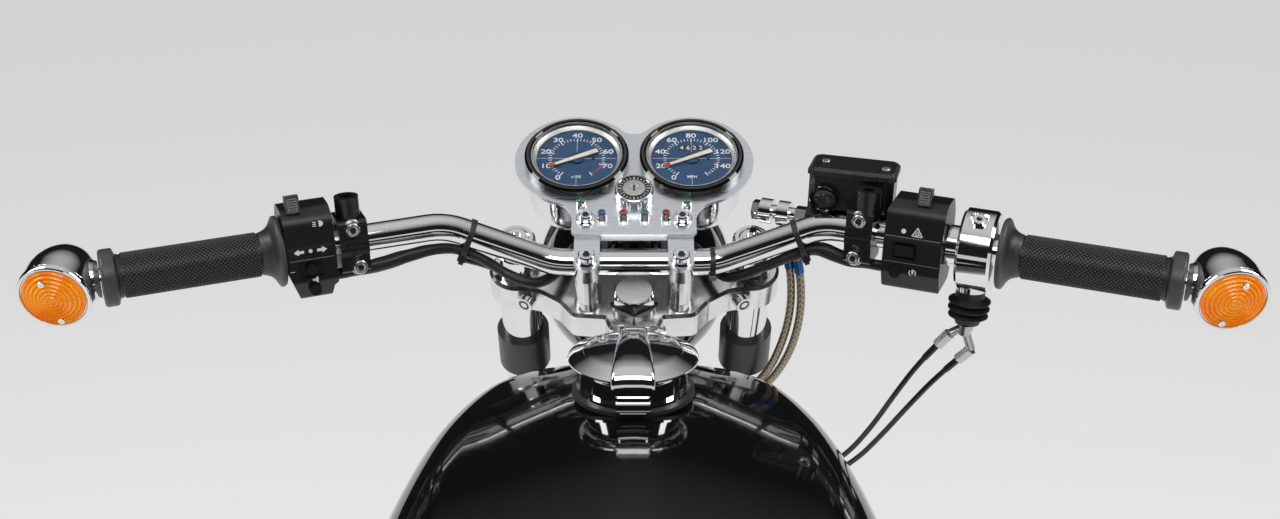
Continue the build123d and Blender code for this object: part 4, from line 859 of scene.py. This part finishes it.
# Indicators: ridged amber lenses in a flat chrome rim, each held by two small screws
indicators = {
    "outs": {-1: 426.0, 1: 439.0},
    "dip": math.radians(15.0),
    "back": 14.0,
    "lensRadius": 23.6,
    "pitch": 3.0,
    # across one ridge from its outer edge: distance in, and height over the dome
    "ridge": ((0.3, -1.3), (0.9, 0.2), (1.5, 0.8), (2.1, 0.4), (2.9, -1.1)),
    "rim": ((24.3, -1.5), (24.3, 1.4), (24.9, 2.3), (25.9, 2.5), (26.9, 2.0), (27.6, 0.8), (27.7, -1.5)),
    "screws": {-1: ((-5, 14.5), (2.5, -19.5)), 1: ((5, 15.5), (-5, -19))},
    "screw": ((2.5, -1.5), (2.7, 0.6), (2.3, 1.3), (0.9, 1.5), (0.8, 0.9, 4)),
}


def makeIndicators():
    lenses, rims = bmesh.new(), bmesh.new()
    away = Vector((0, -math.cos(indicators["dip"]), -math.sin(indicators["dip"])))
    radius, pitch = indicators["lensRadius"], indicators["pitch"]
    profile = [(radius, -3), (radius, 1.6)]
    for row in range(int(radius / pitch)):
        outer = radius - row * pitch
        crest = 7.4 - 5.4 * ((outer - 0.3) / radius) ** 2
        profile += [(outer - inward, crest + up) for inward, up in indicators["ridge"]]
    profile.append((0, 7.5))
    for side, out in indicators["outs"].items():
        base = facing(barAt(side, out).translation + away * indicators["back"] * mm, away)
        lathe(lenses, base, profile, 72)
        lathe(rims, base, indicators["rim"], 72, True)
        for x, y in indicators["screws"][side]:
            height = 7.6 - 5.6 * (math.hypot(x, y) / radius) ** 2
            lathe(rims, shifted(base, x, y, height), indicators["screw"], 24)
    newPiece("indicatorLenses", lenses, "amber", angle=24, stands=("indicator_lenses",))
    newPiece("indicatorRims", rims, "chrome", angle=30)


makeIndicators()
print("fittings and indicators ready")

# Hoses, cables and sleeves: each follows the smooth line of its route

def fromReference(points):
    return [steering["reference"] + Vector(point) * mm for point in points]


def routePoints(points, finer):
    curve = bpy.data.curves.new("routeLine", "CURVE")
    curve.dimensions = "3D"
    curve.resolution_u = finer
    spline = curve.splines.new("NURBS")
    spline.points.add(len(points) - 1)
    for spot, point in zip(spline.points, points):
        spot.co = (*point, 1)
    spline.order_u = 3
    spline.use_endpoint_u = True
    mesh = curveMesh(curve)
    line = [vertex.co.copy() for vertex in mesh.vertices]
    bpy.data.meshes.remove(mesh)
    return line


def sweepTube(bm, line, radiusAt, segments=20):
    # radiusAt gives the radius at a distance in metres and a turn round the tube
    layer = bm.loops.layers.uv.verify()
    rings, distances = [], [0.0]
    for index, point in enumerate(line):
        before, after = line[max(index - 1, 0)], line[min(index + 1, len(line) - 1)]
        along = (after - before).normalized()
        if index:
            distances.append(distances[-1] + (point - line[index - 1]).length)
        else:
            across = along.cross(Vector((0.3, 0.2, 1))).normalized()
        across = (across - along * along.dot(across)).normalized()
        rise = along.cross(across)
        rings.append([bm.verts.new(point + (across * math.cos(turn) + rise * math.sin(turn))
                                   * radiusAt(distances[-1], turn) * mm)
                      for turn in (2 * math.pi * step / segments for step in range(segments))])
    bm.faces.new(rings[0][::-1])
    bm.faces.new(rings[-1])
    for index in range(len(rings) - 1):
        for step in range(segments):
            after = (step + 1) % segments
            face = bm.faces.new((rings[index][step], rings[index][after], rings[index + 1][after],
                                 rings[index + 1][step]))
            spots = ((step, index), (step + 1, index), (step + 1, index + 1), (step, index + 1))
            for loop, (around, row) in zip(face.loops, spots):
                loop[layer].uv = (around / segments, distances[row] * 40)


hoses = {
    # from the steering's reference point, then to the right, ahead and up on the yokes' rake
    "upper": ((118, 22, 56), (127, 22, 38), (132, 27, 10), (133, 34, -20), (128, 42, -52)),
    "lower": ((118, 12, -100), (104, 13, -126), (84, 17, -146), (63, 26, -159), (50, 34, -170),
              (50, 34, -182)),
    "shifts": (0, 8),
    "radius": 3.5,
    "collar": 4.1,
    "ferrule": 4.6,
    "ferruleRun": 0.011,        # metres
}


def makeHoses():
    bm, collars, unions = (bmesh.new() for _ in range(3))
    for shift in hoses["shifts"]:
        route = fromReference((x + shift, y - shift / 2, z - shift * 0.4) for x, y, z in hoses["upper"])
        route += [yokeAt(x + shift, ahead - shift / 4, up).translation for x, ahead, up in hoses["lower"]]
        line = routePoints(route, 12)
        sweepTube(bm, line, lambda distance, turn: hoses["radius"])
        sweepTube(unions, line[:9], lambda distance, turn:
                  hoses["ferrule" if distance < hoses["ferruleRun"] else "collar"], 24)
        sweepTube(unions, line[-5:], lambda distance, turn: hoses["ferrule"], 24)
        sweepTube(collars, line[9:15], lambda distance, turn: hoses["collar"], 24)
    newPiece("brakeHoseBraid", bm, "braid", "woven", 60, ("brake_hoses",))
    newPiece("hoseCollars", collars, "braid", "hoseBlue", 40)
    newPiece("hoseFerrules", unions, "steel", angle=30)


makeHoses()

cables = {
    "routes": (
        ((243, -50, -16), (231, -44, -33), (214, -32, -68), (199, -18, -104), (181, -3, -138),
         (157, 12, -163), (130, 25, -178), (109, 34, -186), (88, 40, -190), (67, 40, -190)),
        ((259, -56, -26), (245, -48, -44), (226, -35, -76), (208, -20, -110), (189, -4, -143),
         (163, 12, -169), (133, 25, -185), (110, 34, -194), (88, 40, -199), (67, 40, -199)),
    ),
    "radius": 2.25,
    "sleeve": 0.55,             # thicker by this near the housing
    "sleeveRun": 0.016,         # metres
}


def makeCables():
    bm = bmesh.new()
    for route in cables["routes"]:
        sweepTube(bm, routePoints(fromReference(route), 12), lambda distance, turn:
                  cables["radius"] + (cables["sleeve"] if distance < cables["sleeveRun"] else 0))
    piece = newPiece("throttleCableSheaths", bm, "sleeve", "sheath", 60, ("throttle_cables",), None)
    end, *_, start = fromReference(cables["routes"][0])
    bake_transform(piece)


makeCables()

wiring = {
    "drop": 15.8,
    "radius": 4.25,
    "bulge": 1.7,               # slack sleeve a little way in from the switch housing
    "bulgeAt": 0.045,           # metres, as the run is
    "bulgeRun": 0.022,
    "rises": (143, 121),
    # out, ahead and up on the outer leg, then from the steering's reference point
    "routes": {
        -1: (((238, 2, -27), (224, 2, -27), (200, 1, -25), (176, 0, -19)),
             ((-100, -12, 28), (-84, -12, 21), (-70, 0, 20), (-60, 20, 24), (-53, 44, 31), (-44, 68, 27),
              (-36, 93, 21))),
        1: (((203, 2, -27), (188, 2, -27), (169, 1, -26)),
            ((92, -5, 27), (76, 0, 21), (64, 18, 23), (55, 44, 31), (45, 68, 27), (36, 93, 21))),
    },
}


def makeWiring():
    for side, (outer, inner) in wiring["routes"].items():
        route = [barAt(side, *spot).translation for spot in outer]
        route += [riseAt(side, out, 0, -wiring["drop"]).translation for out in wiring["rises"]]
        route += fromReference(inner)

        def sleeveRadius(distance, turn):
            around = (math.cos(turn) * 0.9, math.sin(turn) * 0.9)
            fold = noise.noise(Vector((distance * 60 + side * 7, *around)))
            bulge = wiring["bulge"] * math.exp(-((distance - wiring["bulgeAt"]) / wiring["bulgeRun"]) ** 2)
            return wiring["radius"] + fold * (0.75 + bulge * 0.4) + bulge

        bm = bmesh.new()
        sweepTube(bm, routePoints(route, 16), sleeveRadius, 22)
        newPiece(f"{sideNames[side]}WiringSleeve", bm, "sleeve", angle=70,
                 stands=(f"wiring_{sideNames[side]}",))


makeWiring()
print("hoses, cables and sleeves ready")

# Switchgear: lever tabs, seams, slider marks and plain pictograms on the faces towards the rider
switches = {
    "face": 24.05,
    "spans": {-1: (238.0, 273.0), 1: (203.0, 245.5)},
    # up, width and height
    "seams": {-1: ((-2.0, 0.5, 0.1),), 1: ((9.0, 0.5, 0.1), (-12.0, 0.4, 0.08))},
    "tabs": {-1: 264.0, 1: 228.0},
    "tabLean": -14,
    "print": 0.12,
    # side, out, up, radius and segments
    "dots": ((-1, 256.2, 4.6, 1.5, 20), (1, 217.0, 14.0, 1.9, 24)),
    "arrow": ((-4.4, 0), (-0.6, 2.6), (-0.6, 1.1), (3.4, 1.1), (3.4, -1.1), (-0.6, -1.1), (-0.6, -2.6)),
    "horn": ((-3, -0.7), (-3, 0.9), (-1.4, 0.9), (0.6, 2.6), (1.4, 2.6), (1.4, -2.4), (0.6, -2.4),
             (-1.4, -0.7)),
    "lamp": ((-0.2, -2.4), (1.6, -2.2), (2.9, -1), (3.1, 0), (2.9, 1), (1.6, 2.2), (-0.2, 2.4)),
    "flash": ((-0.5, 2.6), (1.0, 2.6), (0.4, 0.5), (1.0, 0.5), (-0.6, -2.8), (-0.2, -0.5), (-0.9, -0.5)),
    # side, out, up, sign and turn
    "signs": ((-1, 264.0, 4.6, "arrow", 0), (-1, 248.4, 4.6, "arrow", 180), (-1, 254.0, -19.2, "horn", 0),
              (-1, 248.2, 25.5, "lamp", 0), (1, 226.2, -19.0, "flash", 0)),
    # side, out, up, and the line's x, width and height
    "lines": ((-1, 251.6, 24, 0, 2.6, 0.55), (-1, 251.6, 25.5, 0, 2.6, 0.55), (-1, 251.6, 27, 0, 2.6, 0.55),
              (-1, 249.0, -10.4, -8, 3.2, 0.35), (-1, 249.0, -10.4, -23, 3.2, 0.35)),
    "triangle": (1, 227.0, 13.4),
    "triangleSides": ((4.6, 0.75), (1.9, 0.65)),
    "arc": (1, 226.2, -19.0),
    "arcRadii": (2.9, 2.2),
}


def mark(bm, side, out, up, outline, spin=0.0, high=switches["print"]):
    slab(bm, turned(riderAt(side, out, up, switches["face"]), spin), outline, -0.3, high)


def makeSwitchMarks():
    white, tabs, seams = (bmesh.new() for _ in range(3))
    for side, out, up, sign, spin in switches["signs"]:
        mark(white, side, out, up, switches[sign], spin)
    for side, out, up, x, width, height in switches["lines"]:
        mark(white, side, out, up, bar2d(x, 0, width, height))
    for side, out, up, radius, segments in switches["dots"]:
        lathe(white, riderAt(side, out, up, switches["face"]), ((radius, -0.3), (radius, switches["print"])),
              segments)
    for size, wide in switches["triangleSides"]:
        for spin in (0, 120, 240):
            mark(white, *switches["triangle"], bar2d(0, -size / 2, size * 1.73 + wide * 0.6, wide), spin)
    outer, inner = switches["arcRadii"]
    for start in (35, 215):
        turns = [start + step * 14 for step in range(8)]
        mark(white, *switches["arc"], [turn2d(turn, outer) for turn in turns]
             + [turn2d(turn, inner) for turn in turns[::-1]])
    for side, (start, end) in switches["spans"].items():
        middle, long = (start + end) / 2, (end - start) / 0.93 - 3
        for up, width, height in switches["seams"][side]:
            mark(seams, side, middle, up, bar2d(0, 0, long, width), 0, height)
        tab = turned(riderAt(side, switches["tabs"][side], 40, 13.5), switches["tabLean"], "X")
        slab(tabs, tab, roundedBox(5.4, -7, 7.5, 1, 1.6), -2.4, 0, 0.4)
        slab(seams, tab, roundedBox(3.9, -5.6, 4.6, 0.6), -0.2, 0.25, 0.2)
        for step in range(5):
            slab(tabs, tab, bar2d(0, -4.4 + step * 2, 6.4, 0.7), 0.1, 0.6, 0.15)
    newPiece("switchMarks", white, "black_plastic", "white")
    newPiece("switchTabs", tabs, "black_plastic", "tab")
    newPiece("switchSeams", seams, "black_plastic", "seam")


makeSwitchMarks()

# Master cylinder: two slotted screws on its lid, and the sight glass in its ring
reservoir = {
    "start": 138.0,
    "lean": 7.0,                # degrees
    "screws": (9.0, 58.0),
    "screwsAhead": 24,
    "screwsUp": 45.7,
    "screw": ((3.6, -1), (3.6, 0.6), (3.1, 1.0), (0, 1.0)),
    "glass": (14.0, 2, 22.0),   # along the bar, ahead and up
    "ring": ((11.6, -0.5), (11.6, 0.7), (11.1, 1.3), (9.9, 1.3), (9.3, 0.6), (9.0, -2.2), (9.0, -2.6),
             (10, -2.6)),
    "pane": ((8.9, -2.5), (8.9, -1.2), (7.5, -0.6), (4, -0.2), (0, -0.1)),
}


def reservoirAt(along, ahead, up):
    # local x to the right along the bar, local y ahead, local z up, on the cylinder's lean
    lean = turned(barAt(1, reservoir["start"]), reservoir["lean"])
    return axesMatrix(lean.col[2].xyz, lean.col[0].xyz, lean.col[1].xyz,
                      lean @ (Vector((ahead, up, along)) * mm))


def makeReservoirFittings():
    screws, ring, glass = (bmesh.new() for _ in range(3))
    for along in reservoir["screws"]:
        base = reservoirAt(along, reservoir["screwsAhead"], reservoir["screwsUp"])
        lathe(screws, base, reservoir["screw"], 28)
        slab(screws, base, bar2d(0, 0, 6.4, 0.9, 20), 0.8, 1.25, 0.1)
    spot = reservoirAt(*reservoir["glass"])
    base = facing(spot.translation, -spot.col[1].xyz, spot.col[0].xyz)
    lathe(ring, base, reservoir["ring"], 48, True)
    lathe(glass, base, reservoir["pane"], 40)
    newPiece("reservoirScrews", screws, "steel", angle=30)
    newPiece("sightGlassRing", ring, "black_paint", angle=30)
    newPiece("sightGlass", glass, "clear_glass", "smoke")


makeReservoirFittings()

# Straps and conduit: strap heads under the bar, a strap round the bar, and the ribbed conduit behind it
straps = {
    "head": (132.0, -5.4, -20.2),
    "roundBar": 0.064,          # metres to the right of the bar's middle
    "band": ((11.05, -2.2), (12.3, -2.2), (12.45, 0), (12.3, 2.2), (11.05, 2.2)),
    "bandHead": (235, 13.4),    # degrees round the bar, and distance out
    "conduit": ((-143, 20, 32), (-124, 25, 26), (-104, 30, 13), (-84, 34, 5), (-66, 38, 6), (-52, 52, 16),
                (-42, 70, 24)),
    "conduitRadius": 3.5,
    "rib": 0.45,
    "ribPitch": 0.0026,         # metres
}


def makeStraps():
    bm = bmesh.new()
    for side in (-1, 1):
        base = riseAt(side, *straps["head"])
        slab(bm, base, roundedBox(3, -2.6, 2.6, 0.6), -3.2, 3.2, 0.5)
        slab(bm, turned(base, 22.918), bar2d(-4.5, 0, 6, 1.0), -2, 2, 0.2)
    base = facing(barMiddle + Vector((straps["roundBar"], 0, 0)), (1, 0, 0), (0, 1, 0))
    lathe(bm, base, straps["band"], 48, True)
    degrees, reach = straps["bandHead"]
    slab(bm, shifted(turned(base, degrees), reach), roundedBox(1.8, -3, 3, 0.5, steps=2), -3, 3, 0.4)
    newPiece("strapHeads", bm, "rubber", "strap", 30)
    bm = bmesh.new()
    sweepTube(bm, routePoints(fromReference(straps["conduit"]), 30), lambda distance, turn:
              straps["conduitRadius"] + straps["rib"] * math.sin(2 * math.pi * distance / straps["ribPitch"]),
              18)
    newPiece("ribbedConduit", bm, "sleeve", "sheath", 70)


makeStraps()

# Headlamp: fluted reflector bowl and bulb behind the lens
headlamp = {
    "centre": (0, 749, 67),
    "bowl": ((74, 38), (73, 36), (64, 30), (50, 25), (34, 22), (18, 20.8), (9, 20.6), (9, 19.8), (30, 20.6),
             (52, 23.8), (67, 30), (75.4, 38)),
    "bulb": ((8.4, 20.5), (8.4, 24), (5.5, 24.6), (5.2, 30), (4.2, 33.5), (2, 35.2), (0, 35.6)),
}


def makeHeadlamp():
    base = facing(Vector(headlamp["centre"]) * mm, (0, 1, 0))
    bowl, bulb = bmesh.new(), bmesh.new()
    lathe(bowl, base, headlamp["bowl"], 96, True)
    lathe(bulb, base, headlamp["bulb"], 32)
    newPiece("headlampReflector", bowl, "chrome", angle=40)
    newPiece("headlampBulb", bulb, "clear_glass", "smoke", 40)


makeHeadlamp()
print("switches, reservoir, straps and headlamp ready")

# Studio in metres: pale floor, soft boxes and the camera
studio = {
    "floorHeight": -0.85,
    "floorHalf": 30.0,
    "floorColour": (0.42, 0.42, 0.42),
    "floorGlow": 0.52,          # stands in for the studio's many floor lamps
    "skyForCamera": (0.66, 0.66, 0.67),
    # brightness low down and overhead, and the climb between them
    "sky": {"From Min": 0.5, "From Max": 0.95, "To Min": 0.012, "To Max": 0.62},
    "cameraPlace": (0.0049, -0.6284, 0.5851),
    "cameraPitch": 20.0,
    "cameraLens": 45.0,
}
softBoxes = (
    # name, place, aimed at, width, height, watts
    ("leftBox", (-1.9, 0.3, 1.7), (-0.1, 0.5, 0.1), 0.8, 1.7, 26),
    ("rightBox", (1.9, 0.3, 1.7), (0.1, 0.5, 0.1), 0.8, 1.7, 26),
    ("rearBox", (0.0, -1.5, 2.2), (0.0, 0.5, 0.1), 1.9, 1.3, 30),
)


def makeSky():
    world = bpy.data.worlds.new("studioWorld")
    world.use_nodes = True
    scene.world = world
    tree = world.node_tree
    direction = addNode(tree, "TexCoord")
    parts = addNode(tree, "SeparateXYZ", None, {"Vector": direction.outputs["Generated"]})
    climb = addNode(tree, "MapRange", studio["sky"], {"Value": parts.outputs["Z"]})
    backdrop = tree.nodes["Background"]
    backdrop.inputs["Color"].default_value = (1, 1, 1, 1)
    tree.links.new(climb.outputs["Result"], backdrop.inputs["Strength"])
    seen = addNode(tree, "Background", {"Color": (*studio["skyForCamera"], 1)})
    paths = addNode(tree, "LightPath")
    choose = addNode(tree, "MixShader", None, {
        "Fac": paths.outputs["Is Camera Ray"], 1: backdrop.outputs["Background"],
        2: seen.outputs["Background"]})
    tree.links.new(choose.outputs["Shader"], tree.nodes["World Output"].inputs["Surface"])


def makeStudio():
    half = studio["floorHalf"]
    mesh = bpy.data.meshes.new("studioFloor")
    corners = [(-half, -half, 0), (half, -half, 0), (half, half, 0), (-half, half, 0)]
    mesh.from_pydata(corners, [], [(0, 1, 2, 3)])
    mesh.materials.append(makeFinish(
        "paleFloor", [studio["floorColour"]], 0.0, (0.75, 0.85), (3, 2), None,
        {"Emission Color": (1, 1, 1, 1), "Emission Strength": studio["floorGlow"]}))
    floor = addObject("studioFloor", mesh)
    floor.location.z = studio["floorHeight"]
    for name, place, target, width, height, watts in softBoxes:
        data = bpy.data.lights.new(name, "AREA")
        data.shape = "RECTANGLE"
        data.size = width
        data.size_y = height
        data.energy = watts
        lamp = addObject(name, data)
        lamp.location = place
        lamp.rotation_euler = (Vector(target) - Vector(place)).to_track_quat("-Z", "Y").to_euler()
    data = bpy.data.cameras.new("studioCamera")
    data.lens = studio["cameraLens"]
    data.sensor_width = 36.0
    camera = addObject("studioCamera", data)
    camera.location = studio["cameraPlace"]
    camera.rotation_euler = (math.radians(90 - studio["cameraPitch"]), 0, 0)
    scene.camera = camera
    scene.view_settings.view_transform = "Standard"


makeSky()
makeStudio()
print("studio ready")
